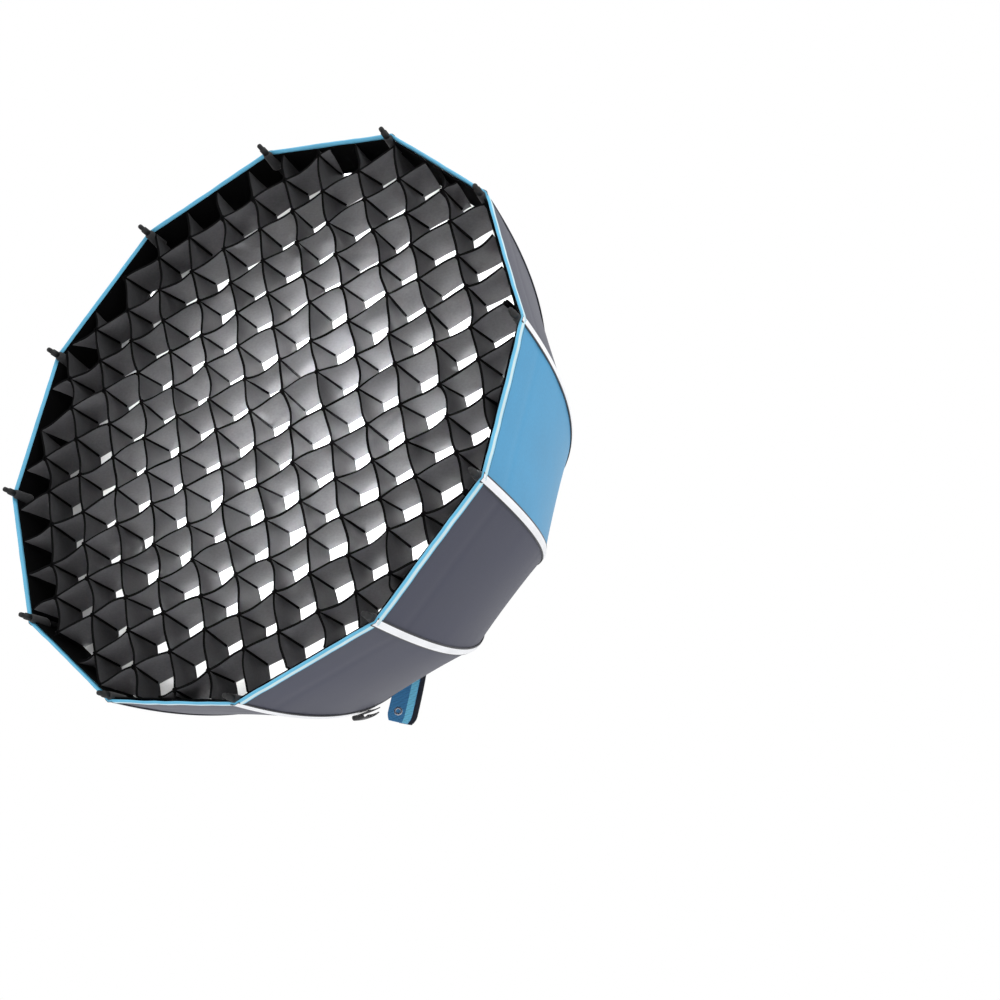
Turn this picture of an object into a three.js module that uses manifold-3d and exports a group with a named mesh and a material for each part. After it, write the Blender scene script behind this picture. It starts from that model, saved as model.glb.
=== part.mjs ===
// A folding twelve-sided softbox with a fabric grid, for a studio lamp.
// Millimetres. The box is built about its own optical axis, which is local +Z here and points the
// way the light goes; the last group turns it so that the front faces -Y and +Z is up.
// The origin is the middle of the rear face of the lamp flange.

import * as THREE from 'three';
import { mergeVertices } from 'three/addons/utils/BufferGeometryUtils.js';
import Module from 'manifold-3d';

const wasm = await Module();
wasm.setup();

// ---- driving dimensions -----------------------------------------------------------------------

const RIB_COUNT = 12;
const FIRST_RIB_DEG = 15; // the lowest rib on the +X side, seen from the front
const SLEEVE = 0.3; // running clearance between touching pieces
const ROUND = 48; // facets round the rings, a multiple of the ribs

const RIM_RADIUS = 300; // rim corner, so 600 across the corners
const BOX_DEPTH = 297; // front face of the hub to the rim
const ROOT_RADIUS = 84.5; // rear edge of the panels, at a seam
const SWELL_DEPTH = 32; // where the two end tangents of a seam meet, in front of the hub
const SWELL_RADIUS = 249;
const PANEL_SHEET = 1.0;
const PANEL_STATIONS = 14; // flat facets along a panel

const FLANGE_THICK = 8;
const FLANGE_RADIUS = 50;
const BORE_RADIUS = 37;
const LUG_COUNT = 3;
const LUG_REACH = 3.5;

const PLATE_RADIUS = 86;
const PLATE_THICK = 9.4;
const PLATE_GAP = 1.6; // between the two plates when the box is locked open
const HUB_THICK = 6.8;
const HUB_RADIUS = 86.5;
const HUB_INNER_RADIUS = 74.3;

const HINGE_RADIUS = 79; // the wire that all twelve rib eyes turn on
const HINGE_SETBACK = 3; // hinge wire behind the hub's front face
const WIRE_RADIUS = 1.5;
const EYE_RADIUS = 3.8;
const EYE_WIDTH = 6;
const TAIL_LENGTH = 10.5; // eye to tail roller
const TAIL_ROLLER_RADIUS = 2.5;
const TAIL_THICK = 2.4;
const FOLD_DEG = 40; // how far a rib swings in

const LEVER_THICK = 4.4;
const SOCKET_RADIUS = 3.6;
const SOCKET_LENGTH = 14;
const ROD_RADIUS = 2.5;
const ROD_INSET = 10; // how deep a rod sits in its socket
const ROD_TIP = 16; // rod past the rim
const ROD_SIDES = 8;
const ROD_STATIONS = 9;
const ROD_JOINS_AT = 0.14; // share of the seam where the rod reaches the seam's inside line

const CHANNEL_WALL = 3.5;
const CHANNEL_INNER_RADIUS = 58;
const CHANNEL_LIP_RADIUS = 71.2;
const CHANNEL_LIP_THICK = 2.5;

const POST_COUNT = 4;
const POST_FIRST_DEG = 60;
const POST_RING_RADIUS = 79;
const POST_RADIUS = 2.2;
const POST_HEAD_RADIUS = 4.6;
const POST_HEAD_THICK = 3.4;
const POST_SINK = 4; // depth of the pocket that a head runs in

const GRID_DEPTH = 37;
const GRID_PITCH = 41;
const GRID_TURN_DEG = 27;
const GRID_SHIFT_U = -5.5;
const GRID_SHIFT_V = 2.5;
const GRID_SHEET = 1.1;
const GRID_RIM_GAP = 1.5; // grid's front edge behind the rim
const DIFFUSER_SHEET = 1.2;
const DIFFUSER_GAP = 2.0; // behind the grid
const FABRIC_GAP = 1.0; // grid and diffuser inside the panels

const LATCH_TRAVEL = 6;
const BOLT_THICK = 5;
const BOLT_BRIDGE = 4;
const KEEPER_RADIUS = 76.5;
const KEEPER_WIDTH = 12;
const KEEPER_THICK = 3;
const KEEPER_BAR = 1.6; // solid metal behind the keeper's window
const NOSE_HALF = 3;
const COVER_THICK = 1.2;
const COVER_LAND = 4;

const STRAP_WIDTH = 25;
const STRAP_LENGTH = 98;
const STRAP_THICK = 1.6;
const BACKING_THICK = 1.0;
const STRAP_TWIST_DEG = -32;
const STRAP_STRAIGHT = 12; // hangs flat this far before it starts to twist
const STRAP_STATIONS = 24;
const STRAP_PIN_RADIUS = 1.8;
const STRAP_EAR = 3;

const CLOSURE_LENGTH = 32;
const CLOSURE_WIDTH = 13;
const CLOSURE_THICK = 3;
const CLOSURE_SHARE = 0.55; // how far along the seam
const CLOSURE_RIB = 9;

const BLUE_PANELS = [5, 11]; // left and right

const HEM_REACH = 4;

// ---- sizes that follow ------------------------------------------------------------------------

const PLATE_BACK = FLANGE_THICK + SLEEVE;
const PLATE_FRONT = PLATE_BACK + PLATE_THICK;
const HUB_BACK = PLATE_FRONT + PLATE_GAP;
const HUB_FRONT = HUB_BACK + HUB_THICK;
const HINGE_DEPTH = HUB_FRONT - HINGE_SETBACK;
const RIM_DEPTH = HUB_FRONT + BOX_DEPTH;
const TRAVEL = TAIL_LENGTH * Math.sin(rad(FOLD_DEG));
const STEP_DEG = 360 / RIB_COUNT;
const HALF_STEP = rad(STEP_DEG / 2);

const seam = new THREE.QuadraticBezierCurve(
  new THREE.Vector2(ROOT_RADIUS, HUB_FRONT + 2 * SLEEVE),
  new THREE.Vector2(SWELL_RADIUS, HUB_FRONT + SWELL_DEPTH),
  new THREE.Vector2(RIM_RADIUS, RIM_DEPTH),
);

// How far the seam, and a panel's flat facets along it, come inside a rod socket's straight line.
function socketSag() {
  const first = seam.v1.clone().sub(seam.v0);
  const bend = seam.v2.clone().sub(seam.v1).sub(first);
  const curvature = Math.abs(first.cross(bend)) / (2 * first.length() ** 3);
  const facet = (2 * first.length()) / PANEL_STATIONS;
  return (curvature * SOCKET_LENGTH ** 2) / 2 + (curvature * facet ** 2) / 8;
}

// A rod's centre line behind the seam, measured square to the seam.
const LINE_OFFSET = (PANEL_SHEET + SLEEVE + SOCKET_RADIUS + socketSag()) / Math.cos(HALF_STEP) + 0.1;

function rad(degrees) {
  return (degrees * Math.PI) / 180;
}

// ---- solids -----------------------------------------------------------------------------------

function bare(geometry) {
  const copy = geometry.clone();
  copy.deleteAttribute('normal');
  copy.deleteAttribute('uv');
  return mergeVertices(copy, 1e-4);
}

function solid(geometry) {
  const merged = bare(geometry);
  const make = (order) => {
    const triVerts = new Uint32Array(merged.index.array.length);
    merged.index.array.forEach((value, i) => {
      triVerts[3 * Math.floor(i / 3) + order[i % 3]] = value;
    });
    const vertProperties = new Float32Array(merged.attributes.position.array);
    return new wasm.Manifold(new wasm.Mesh({ numProp: 3, vertProperties, triVerts }));
  };
  const first = make([0, 1, 2]);
  return first.volume() > 0 ? first : make([0, 2, 1]);
}

function geometryOf(manifold) {
  const mesh = manifold.getMesh();
  const geometry = new THREE.BufferGeometry();
  geometry.setAttribute('position', new THREE.BufferAttribute(mesh.vertProperties, 3));
  geometry.setIndex(new THREE.BufferAttribute(mesh.triVerts, 1));
  geometry.computeVertexNormals();
  return geometry;
}

// A turned ring about Z. The profile is a list of [radius, z] and closes on itself.
function turned(profile, segments, phase = 0) {
  const points = [...profile, profile[0]].map(([r, z]) => new THREE.Vector2(r, z));
  const geometry = new THREE.LatheGeometry(points, segments);
  geometry.rotateX(Math.PI / 2);
  geometry.rotateZ(phase);
  return solid(geometry);
}

function ring(inner, outer, from, to, segments = ROUND) {
  return turned([[inner, from], [outer, from], [outer, to], [inner, to]], segments);
}

function block(x0, x1, y0, y1, z0, z1) {
  const geometry = new THREE.BoxGeometry(x1 - x0, y1 - y0, z1 - z0);
  geometry.translate((x0 + x1) / 2, (y0 + y1) / 2, (z0 + z1) / 2);
  return solid(geometry);
}

function drum(radius, from, to, segments) {
  const geometry = new THREE.CylinderGeometry(radius, radius, to - from, segments);
  geometry.rotateX(Math.PI / 2);
  geometry.translate(0, 0, (from + to) / 2);
  return solid(geometry);
}

function pillar(radius, depth, centre, degrees, from, segments = 12) {
  return drum(radius, from, from + depth, segments)
    .translate([centre * Math.cos(rad(degrees)), centre * Math.sin(rad(degrees)), 0]);
}

// A flat outline in a rib's plane (x out from the axis, y along it) with its thickness across.
function acrossRib(shape, width) {
  const geometry = new THREE.ExtrudeGeometry(shape, {
    depth: width,
    bevelEnabled: false,
    curveSegments: 6,
  });
  geometry.translate(0, 0, -width / 2);
  geometry.rotateX(Math.PI / 2);
  return solid(geometry);
}

function circle(radius, x, y) {
  const shape = new THREE.Shape();
  shape.absarc(x, y, radius, 0, 2 * Math.PI, false);
  return shape;
}

function bar(from, to, thick) {
  const along = to.clone().sub(from).normalize();
  const side = new THREE.Vector2(-along.y, along.x).multiplyScalar(thick / 2);
  return new THREE.Shape([
    from.clone().add(side),
    from.clone().sub(side),
    to.clone().sub(side),
    to.clone().add(side),
  ]);
}

function unite(parts) {
  return parts.reduce((sum, next) => sum.add(next));
}

function around(count, make) {
  return Array.from({ length: count }, (_, i) => make(i));
}

// ---- materials --------------------------------------------------------------------------------

const FINISHES = {
  cast_alloy: [0xb9bbc0, 0.42, 0.9],
  plated_steel: [0xc9ccd2, 0.28, 1.0],
  fibre_rod: [0x17181b, 0.45, 0.0],
  charcoal_fabric: [0x55535e, 0.72, 0.0],
  blue_fabric: [0x4f9ac6, 0.62, 0.0],
  white_tape: [0xf0f1f4, 0.8, 0.0],
  white_diffusion: [0xf4f4f2, 0.85, 0.0],
  black_fabric: [0x0d0d0f, 0.85, 0.0],
  blue_webbing: [0x3f9bd1, 0.7, 0.0],
  navy_webbing: [0x1a2238, 0.75, 0.0],
  black_plastic: [0x141416, 0.5, 0.0],
  spring_steel: [0x9fa3a8, 0.35, 1.0],
};

const box = new THREE.Group();

function add(name, manifold, finish, turn = 0) {
  const [color, roughness, metalness] = FINISHES[finish];
  const material = new THREE.MeshStandardMaterial({ color, roughness, metalness });
  const mesh = new THREE.Mesh(geometryOf(manifold), material);
  mesh.name = name;
  mesh.rotation.z = turn;
  box.add(mesh);
  return mesh;
}

// ---- the line of a rib --------------------------------------------------------------------------

// The rod's centre line, inside the seam by LINE_OFFSET. x is the distance from the axis.
function rodPoint(u) {
  const point = seam.getPoint(u);
  const way = seam.getTangent(u);
  return new THREE.Vector2(point.x - way.y * LINE_OFFSET, point.y + way.x * LINE_OFFSET);
}

const eye = new THREE.Vector2(HINGE_RADIUS, HINGE_DEPTH);
const socketStart = rodPoint(0);
const socketWay = seam.getTangent(0);
const socketEnd = socketStart.clone().addScaledVector(socketWay, SOCKET_LENGTH);

// ---- the mount: flange, rear plate and tail channel ---------------------------------------------

function makeFlange() {
  const lugs = around(LUG_COUNT, (i) => block(
    BORE_RADIUS - LUG_REACH, BORE_RADIUS + 2, -7, 7, 1.2, 4.2,
  ).rotate([0, 0, 30 + (i * 360) / LUG_COUNT]));
  return unite([ring(BORE_RADIUS, FLANGE_RADIUS, 0, FLANGE_THICK), ...lugs]);
}

const BOSS_RADIUS = HUB_INNER_RADIUS - 0.8;
const BOSS_FRONT = HINGE_DEPTH - TAIL_ROLLER_RADIUS - SLEEVE;
const POST_DEGREES = around(POST_COUNT, (i) => POST_FIRST_DEG + (i * 360) / POST_COUNT);

function makeRearPlate() {
  let plate = ring(BORE_RADIUS + 1.5, PLATE_RADIUS, PLATE_BACK, PLATE_FRONT)
    .add(ring(CHANNEL_INNER_RADIUS, BOSS_RADIUS, PLATE_FRONT - 1, BOSS_FRONT));
  for (const degrees of POST_DEGREES) {
    const shaft = pillar(POST_RADIUS + SLEEVE, 40, POST_RING_RADIUS, degrees, 0);
    const pocket = pillar(
      POST_HEAD_RADIUS + SLEEVE, POST_SINK + 1, POST_RING_RADIUS, degrees, PLATE_BACK - 1,
    );
    plate = plate.subtract(shaft).subtract(pocket);
  }
  return plate.subtract(boltPocket());
}

function makeChannelRing() {
  const lipBack = HINGE_DEPTH + TAIL_ROLLER_RADIUS + SLEEVE;
  const back = BOSS_FRONT + SLEEVE;
  const front = lipBack + CHANNEL_LIP_THICK;
  const wall = CHANNEL_INNER_RADIUS + CHANNEL_WALL;
  return turned([
    [CHANNEL_INNER_RADIUS, back],
    [wall, back],
    [wall, lipBack],
    [CHANNEL_LIP_RADIUS, lipBack],
    [CHANNEL_LIP_RADIUS, front],
    [CHANNEL_INNER_RADIUS, front],
  ], ROUND);
}

// ---- the hub: ring, hinge wire, guide posts and the fabric's rear hem ---------------------------

const WIRE_GROOVE = WIRE_RADIUS + SLEEVE;

function makeHubRing() {
  let hub = ring(HUB_INNER_RADIUS, HUB_RADIUS, HUB_BACK, HUB_FRONT);
  hub = hub.subtract(ring(
    HINGE_RADIUS - WIRE_GROOVE, HINGE_RADIUS + WIRE_GROOVE, HINGE_DEPTH - WIRE_GROOVE, HUB_FRONT + 1,
  ));
  const half = EYE_WIDTH / 2 + SLEEVE;
  const slotEnd = Math.max(HINGE_RADIUS + EYE_RADIUS, leverEdgeAtHubFront()) + SLEEVE + 0.1;
  for (let i = 0; i < RIB_COUNT; i += 1) {
    const slot = block(HUB_INNER_RADIUS - 4, slotEnd, -half, half, HUB_BACK - 1, HUB_FRONT + 1);
    hub = hub.subtract(slot.rotate([0, 0, FIRST_RIB_DEG + i * STEP_DEG]));
  }
  return hub;
}

// How far out the lever's outer edge is where it leaves the hub's front face.
function leverEdgeAtHubFront() {
  const way = socketStart.clone().sub(eye).normalize();
  return HINGE_RADIUS + (HINGE_SETBACK * way.x + LEVER_THICK / 2) / way.y;
}

function makeHingeWire() {
  const profile = around(6, (i) => {
    const angle = (Math.PI * i) / 3;
    return [HINGE_RADIUS + WIRE_RADIUS * Math.cos(angle), HINGE_DEPTH + WIRE_RADIUS * Math.sin(angle)];
  });
  return turned(profile, ROUND);
}

// A post stops under the hub's hinge groove, so it stands in a pad outside the groove's floor.
function makeGuidePost(degrees) {
  const headFront = PLATE_BACK + POST_SINK - TRAVEL - SLEEVE;
  const head = pillar(
    POST_HEAD_RADIUS, POST_HEAD_THICK, POST_RING_RADIUS, degrees, headFront - POST_HEAD_THICK,
  );
  const shaftEnd = HUB_BACK - SLEEVE;
  const shaft = pillar(
    POST_RADIUS, shaftEnd - headFront + 1, POST_RING_RADIUS, degrees, headFront - 1,
  );
  return head.add(shaft);
}

function makeRearHem() {
  const back = HUB_FRONT + SLEEVE;
  const start = ROOT_RADIUS + 2.5;
  const slope = seamSlopeAtRoot();
  const front = (r) => HUB_FRONT + 2 * SLEEVE + (r - ROOT_RADIUS) * slope - 2 * SLEEVE;
  const end = start + HEM_REACH;
  return turned([
    [start, back], [end, back], [end, front(end)], [start, front(start)],
  ], RIB_COUNT, rad(FIRST_RIB_DEG) - Math.PI / 2);
}

function seamSlopeAtRoot() {
  const way = seam.getTangent(0);
  return way.y / way.x;
}

// ---- ribs ---------------------------------------------------------------------------------------

function makeRibLever() {
  const tail = new THREE.Vector2(HINGE_RADIUS - TAIL_LENGTH, HINGE_DEPTH);
  const plate = unite([
    acrossRib(circle(EYE_RADIUS, eye.x, eye.y), EYE_WIDTH),
    acrossRib(circle(TAIL_ROLLER_RADIUS, tail.x, tail.y), EYE_WIDTH),
    acrossRib(bar(tail, eye, TAIL_THICK), EYE_WIDTH),
    acrossRib(bar(eye, socketStart, LEVER_THICK), EYE_WIDTH),
  ]);
  const bore = acrossRib(circle(WIRE_RADIUS + SLEEVE, eye.x, eye.y), EYE_WIDTH + 2);
  const rodHole = alongSocket(
    ROD_RADIUS + SLEEVE, SOCKET_LENGTH - ROD_INSET - SLEEVE, SOCKET_LENGTH + 1,
  );
  return plate.add(alongSocket(SOCKET_RADIUS, 0, SOCKET_LENGTH)).subtract(bore)
    .subtract(rodHole);
}

// A round length on the socket's line, from one distance along it to another.
function alongSocket(radius, from, to) {
  const geometry = new THREE.CylinderGeometry(radius, radius, to - from, 10);
  geometry.translate(0, (from + to) / 2, 0);
  geometry.rotateZ(-Math.atan2(socketWay.x, socketWay.y));
  geometry.translate(socketStart.x, socketStart.y, 0);
  geometry.rotateX(Math.PI / 2);
  return solid(geometry);
}

// The rod leaves its socket on the socket's line and comes onto the seam's inside line.
function makeRibRod() {
  const centres = [-ROD_INSET, 1].map((past) => socketEnd.clone().addScaledVector(socketWay, past));
  for (let i = 0; i <= ROD_STATIONS; i += 1) {
    centres.push(rodPoint(ROD_JOINS_AT + ((1 - ROD_JOINS_AT) * i) / ROD_STATIONS));
  }
  const endWay = seam.getTangent(1);
  centres.push(rodPoint(1).addScaledVector(endWay, ROD_TIP));
  const position = [];
  centres.forEach((centre, i) => {
    const straight = i < 2 ? socketWay : endWay;
    const next = centres[Math.min(i + 1, centres.length - 1)];
    const bent = next.clone().sub(centres[Math.max(i - 1, 0)]).normalize();
    const way = i < 2 || i >= centres.length - 2 ? straight : bent;
    for (let j = 0; j < ROD_SIDES; j += 1) {
      const angle = (2 * Math.PI * j) / ROD_SIDES;
      const out = ROD_RADIUS * Math.cos(angle);
      position.push(
        centre.x + way.y * out, ROD_RADIUS * Math.sin(angle), centre.y - way.x * out,
      );
    }
  });
  return solid(loft(position, ROD_SIDES));
}

// ---- panels -------------------------------------------------------------------------------------

// One thin gore between two ribs, straight across, with its middle on +X.
function makePanel() {
  const rows = around(PANEL_STATIONS + 1, (i) => {
    const u = i / PANEL_STATIONS;
    const out = seam.getPoint(u);
    const way = seam.getTangent(u);
    return { r: out.x, z: out.y, inR: out.x - way.y * PANEL_SHEET, inZ: out.y + way.x * PANEL_SHEET };
  });
  const corner = (r, z, side) => [
    r * Math.cos(HALF_STEP), side * (r * Math.sin(HALF_STEP) - SLEEVE / 2), z,
  ];
  const position = [];
  for (const row of rows) {
    position.push(...corner(row.r, row.z, -1), ...corner(row.r, row.z, 1));
    position.push(...corner(row.inR, row.inZ, 1), ...corner(row.inR, row.inZ, -1));
  }
  return solid(loft(position, 4));
}

// Joins rows of `count` points into a closed skin with flat ends.
function loft(position, count) {
  const rows = position.length / (3 * count);
  const index = [];
  for (let i = 0; i < rows - 1; i += 1) {
    for (let j = 0; j < count; j += 1) {
      const a = i * count + j;
      const b = i * count + ((j + 1) % count);
      index.push(a, b, b + count, a, b + count, a + count);
    }
  }
  const last = (rows - 1) * count;
  for (let j = 1; j < count - 1; j += 1) {
    index.push(0, j + 1, j, last, last + j, last + j + 1);
  }
  const geometry = new THREE.BufferGeometry();
  geometry.setAttribute('position', new THREE.Float32BufferAttribute(position, 3));
  geometry.setIndex(index);
  return geometry;
}

// ---- grid and diffuser --------------------------------------------------------------------------

const GRID_FRONT = RIM_DEPTH - GRID_RIM_GAP;
const GRID_BACK = GRID_FRONT - GRID_DEPTH;
const DIFFUSER_FRONT = GRID_BACK - DIFFUSER_GAP;
const DIFFUSER_BACK = DIFFUSER_FRONT - DIFFUSER_SHEET;

// Seam radius at a distance along the axis.
function seamRadiusAt(depth) {
  let low = 0;
  let high = 1;
  for (let i = 0; i < 40; i += 1) {
    const middle = (low + high) / 2;
    if (seam.getPoint(middle).y < depth) {
      low = middle;
    } else {
      high = middle;
    }
  }
  return seam.getPoint(low).x;
}

// Twenty-four corners: twelve long sides inside the panels and a short one inside each rod.
function mouthOutline(seamRadius, inset) {
  const flat = seamRadius * Math.cos(HALF_STEP) - PANEL_SHEET - FABRIC_GAP - inset;
  const cut = seamRadius - 2 * LINE_OFFSET + ROD_RADIUS - FABRIC_GAP - inset;
  const corners = [];
  for (let i = 0; i < RIB_COUNT; i += 1) {
    const rib = rad(FIRST_RIB_DEG + i * STEP_DEG);
    const along = (cut - flat * Math.cos(HALF_STEP)) / Math.sin(HALF_STEP);
    for (const side of [-1, 1]) {
      const middle = rib + side * HALF_STEP;
      corners.push(new THREE.Vector2(
        flat * Math.cos(middle) + side * along * Math.sin(middle),
        flat * Math.sin(middle) - side * along * Math.cos(middle),
      ));
    }
  }
  return corners;
}

function mouthBlock(from, to, inset) {
  const position = [];
  for (const depth of [from, to]) {
    for (const corner of mouthOutline(seamRadiusAt(depth), inset)) {
      position.push(corner.x, corner.y, depth);
    }
  }
  return solid(loft(position, 2 * RIB_COUNT));
}

function makeGrid() {
  const walls = [];
  const reach = RIM_RADIUS + 10;
  const half = GRID_SHEET / 2;
  const lines = Math.floor(RIM_RADIUS / GRID_PITCH);
  for (let i = -lines; i <= lines; i += 1) {
    const u = GRID_SHIFT_U + i * GRID_PITCH;
    const v = GRID_SHIFT_V + i * GRID_PITCH;
    walls.push(block(u - half, u + half, -reach, reach, GRID_BACK, GRID_FRONT));
    walls.push(block(-reach, reach, v - half, v + half, GRID_BACK, GRID_FRONT));
  }
  const lattice = unite(walls).rotate([0, 0, GRID_TURN_DEG]);
  const whole = mouthBlock(GRID_BACK, GRID_FRONT, 0);
  const hollow = mouthBlock(GRID_BACK - 1, GRID_FRONT + 1, GRID_SHEET);
  return whole.subtract(hollow).add(lattice.intersect(whole));
}

function makeDiffuser() {
  return mouthBlock(DIFFUSER_BACK, DIFFUSER_FRONT, 0);
}

// ---- latch bolt and pull strap ------------------------------------------------------------------

// The bolt slides down out of the lowest part of the ring. Its lower end holds the strap's pin.
const BOLT_HALF = STRAP_WIDTH / 2 + SLEEVE + STRAP_EAR;
const BOLT_BACK = PLATE_BACK;
const BOLT_FRONT = BOLT_BACK + BOLT_THICK;
const BOLT_TOP = KEEPER_RADIUS - KEEPER_THICK / 2 - SLEEVE - LATCH_TRAVEL - BOLT_BRIDGE;
const NOSE_TOP = KEEPER_RADIUS + KEEPER_THICK / 2 + SLEEVE;
const STRAP_PIN_DEPTH = (BOLT_BACK + BOLT_FRONT) / 2;
const LOOP_RADIUS = STRAP_PIN_RADIUS + SLEEVE + STRAP_THICK;
const STRAP_PIN_DROP = PLATE_RADIUS + LOOP_RADIUS + 1;

function boltPocket() {
  const half = BOLT_HALF + SLEEVE;
  const top = BOLT_TOP - SLEEVE;
  const pocket = block(-half, half, -PLATE_RADIUS - 2, -top, PLATE_BACK - 1, BOLT_FRONT + SLEEVE);
  return pocket.add(keeperHole());
}

function keeperHole() {
  const half = KEEPER_WIDTH / 2 + SLEEVE;
  const reach = KEEPER_THICK / 2 + SLEEVE;
  return block(
    -half, half, -KEEPER_RADIUS - reach, -KEEPER_RADIUS + reach, PLATE_BACK - 1, PLATE_FRONT + 1,
  );
}

// The keeper hangs from the back of the hub and reaches through the rear plate to the bolt.
function makeKeeper() {
  const half = KEEPER_WIDTH / 2;
  const reach = KEEPER_THICK / 2;
  const tongue = block(
    -half, half, -KEEPER_RADIUS - reach, -KEEPER_RADIUS + reach, BOLT_BACK, HUB_BACK - SLEEVE,
  );
  const side = NOSE_HALF + SLEEVE;
  const opening = block(
    -side, side, -KEEPER_RADIUS - 9, -KEEPER_RADIUS + 9, KEEPER_BAR + BOLT_BACK, BOLT_FRONT + SLEEVE,
  );
  return tongue.subtract(opening);
}

function makeLatchBolt() {
  const plate = block(-BOLT_HALF, BOLT_HALF, -PLATE_RADIUS + 1, -BOLT_TOP, BOLT_BACK, BOLT_FRONT);
  const openHalf = KEEPER_WIDTH / 2 + SLEEVE;
  const opening = block(
    -openHalf, openHalf, -NOSE_TOP, -(BOLT_TOP + BOLT_BRIDGE), BOLT_BACK - 1, BOLT_FRONT + 1,
  );
  const ear = (side) => {
    const inner = side * (STRAP_WIDTH / 2 + SLEEVE);
    const outer = side * BOLT_HALF;
    return block(
      Math.min(inner, outer), Math.max(inner, outer),
      -STRAP_PIN_DROP - LOOP_RADIUS, -PLATE_RADIUS + 2, BOLT_BACK, BOLT_FRONT,
    );
  };
  return unite([plate.subtract(opening), ear(-1), ear(1), strapPin()]);
}

function acrossCylinder(radius, length) {
  const geometry = new THREE.CylinderGeometry(radius, radius, length, 14);
  geometry.rotateZ(Math.PI / 2);
  geometry.translate(0, -STRAP_PIN_DROP, STRAP_PIN_DEPTH);
  return solid(geometry);
}

function strapPin() {
  return acrossCylinder(STRAP_PIN_RADIUS, STRAP_WIDTH + 2 * SLEEVE + 2);
}

// A thin plate behind the bolt keeps it in its pocket.
function makeLatchCover() {
  const half = BOLT_HALF + COVER_LAND;
  return block(
    -half, half, -PLATE_RADIUS + COVER_LAND, -BOLT_TOP + COVER_LAND,
    PLATE_BACK - SLEEVE - COVER_THICK, PLATE_BACK - SLEEVE,
  );
}

// One layer of the hanging webbing, `away` from the middle of the strap towards the box.
function makeWebbing(away, thick, length) {
  const half = STRAP_WIDTH / 2 - SLEEVE;
  const top = -STRAP_PIN_DROP - STRAP_PIN_RADIUS - SLEEVE - STRAP_THICK / 2;
  const position = [];
  for (let i = 0; i <= STRAP_STATIONS; i += 1) {
    const drop = (i / STRAP_STATIONS) * length;
    const share = Math.min(1, Math.max(0, drop - STRAP_STRAIGHT) / (STRAP_LENGTH - STRAP_STRAIGHT));
    const turn = rad(STRAP_TWIST_DEG) * Math.sin((share * Math.PI) / 2);
    for (const [a, b] of [[-1, -1], [1, -1], [1, 1], [-1, 1]]) {
      const across = a * half;
      const through = away + (b * thick) / 2;
      position.push(
        across * Math.cos(turn) - through * Math.sin(turn), top - drop,
        STRAP_PIN_DEPTH + across * Math.sin(turn) + through * Math.cos(turn),
      );
    }
  }
  return solid(loft(position, 4));
}

function makePullStrap() {
  const loop = acrossCylinder(LOOP_RADIUS, STRAP_WIDTH - 2 * SLEEVE);
  const core = acrossCylinder(STRAP_PIN_RADIUS + SLEEVE, STRAP_WIDTH + 2);
  return loop.add(makeWebbing(0, STRAP_THICK, STRAP_LENGTH)).subtract(core);
}

function makeStrapBacking() {
  const away = (STRAP_THICK + BACKING_THICK) / 2 + 2 * SLEEVE;
  const layer = makeWebbing(away, BACKING_THICK, STRAP_LENGTH);
  const clear = acrossCylinder(LOOP_RADIUS + SLEEVE, STRAP_WIDTH + 2);
  return layer.subtract(clear);
}

// ---- closure strap ------------------------------------------------------------------------------

// A folded fastening strap that lies along one of the lower seams.
function makeClosureStrap() {
  const point = seam.getPoint(CLOSURE_SHARE);
  const way = seam.getTangent(CLOSURE_SHARE);
  const off = CLOSURE_THICK / 2 + SLEEVE + 0.1;
  const geometry = new THREE.BoxGeometry(CLOSURE_THICK, CLOSURE_WIDTH, CLOSURE_LENGTH);
  geometry.rotateY(Math.atan2(way.x, way.y));
  geometry.translate(point.x + way.y * off, 0, point.y - way.x * off);
  return solid(geometry);
}

// ---- the assembly -------------------------------------------------------------------------------

add('mount_flange', makeFlange(), 'cast_alloy');
add('rear_plate', makeRearPlate(), 'cast_alloy');
add('tail_channel_ring', makeChannelRing(), 'plated_steel');
add('latch_cover', makeLatchCover(), 'plated_steel');
add('latch_bolt', makeLatchBolt(), 'black_plastic');
add('pull_strap', makePullStrap(), 'blue_webbing');
add('strap_backing', makeStrapBacking(), 'navy_webbing');

add('hub_ring', makeHubRing(), 'cast_alloy');
add('hinge_wire', makeHingeWire(), 'spring_steel');
add('latch_keeper', makeKeeper(), 'plated_steel');
add('rear_hem', makeRearHem(), 'white_tape');
POST_DEGREES.forEach((degrees, i) => add(`guide_post_${i + 1}`, makeGuidePost(degrees), 'plated_steel'));

const lever = makeRibLever();
const rod = makeRibRod();
const panel = makePanel();
for (let i = 0; i < RIB_COUNT; i += 1) {
  const number = String(i + 1).padStart(2, '0');
  const turn = rad(FIRST_RIB_DEG + i * STEP_DEG);
  add(`rib_lever_${number}`, lever, 'plated_steel', turn);
  add(`rib_rod_${number}`, rod, 'fibre_rod', turn);
  const blue = BLUE_PANELS.includes(i);
  add(`panel_${number}`, panel, blue ? 'blue_fabric' : 'charcoal_fabric', turn + HALF_STEP);
}

add('closure_strap', makeClosureStrap(), 'black_fabric', rad(FIRST_RIB_DEG + CLOSURE_RIB * STEP_DEG));
add('front_diffuser', makeDiffuser(), 'white_diffusion');
add('front_grid', makeGrid(), 'black_fabric');

box.rotation.x = Math.PI / 2;

const part = new THREE.Group();
part.add(box);

export default part;
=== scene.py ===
"""A folding twelve-sided softbox with a fabric grid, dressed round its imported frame. Metres."""

import math
import random

import bmesh
import bpy
from mathutils import Matrix, Vector, noise


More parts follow.
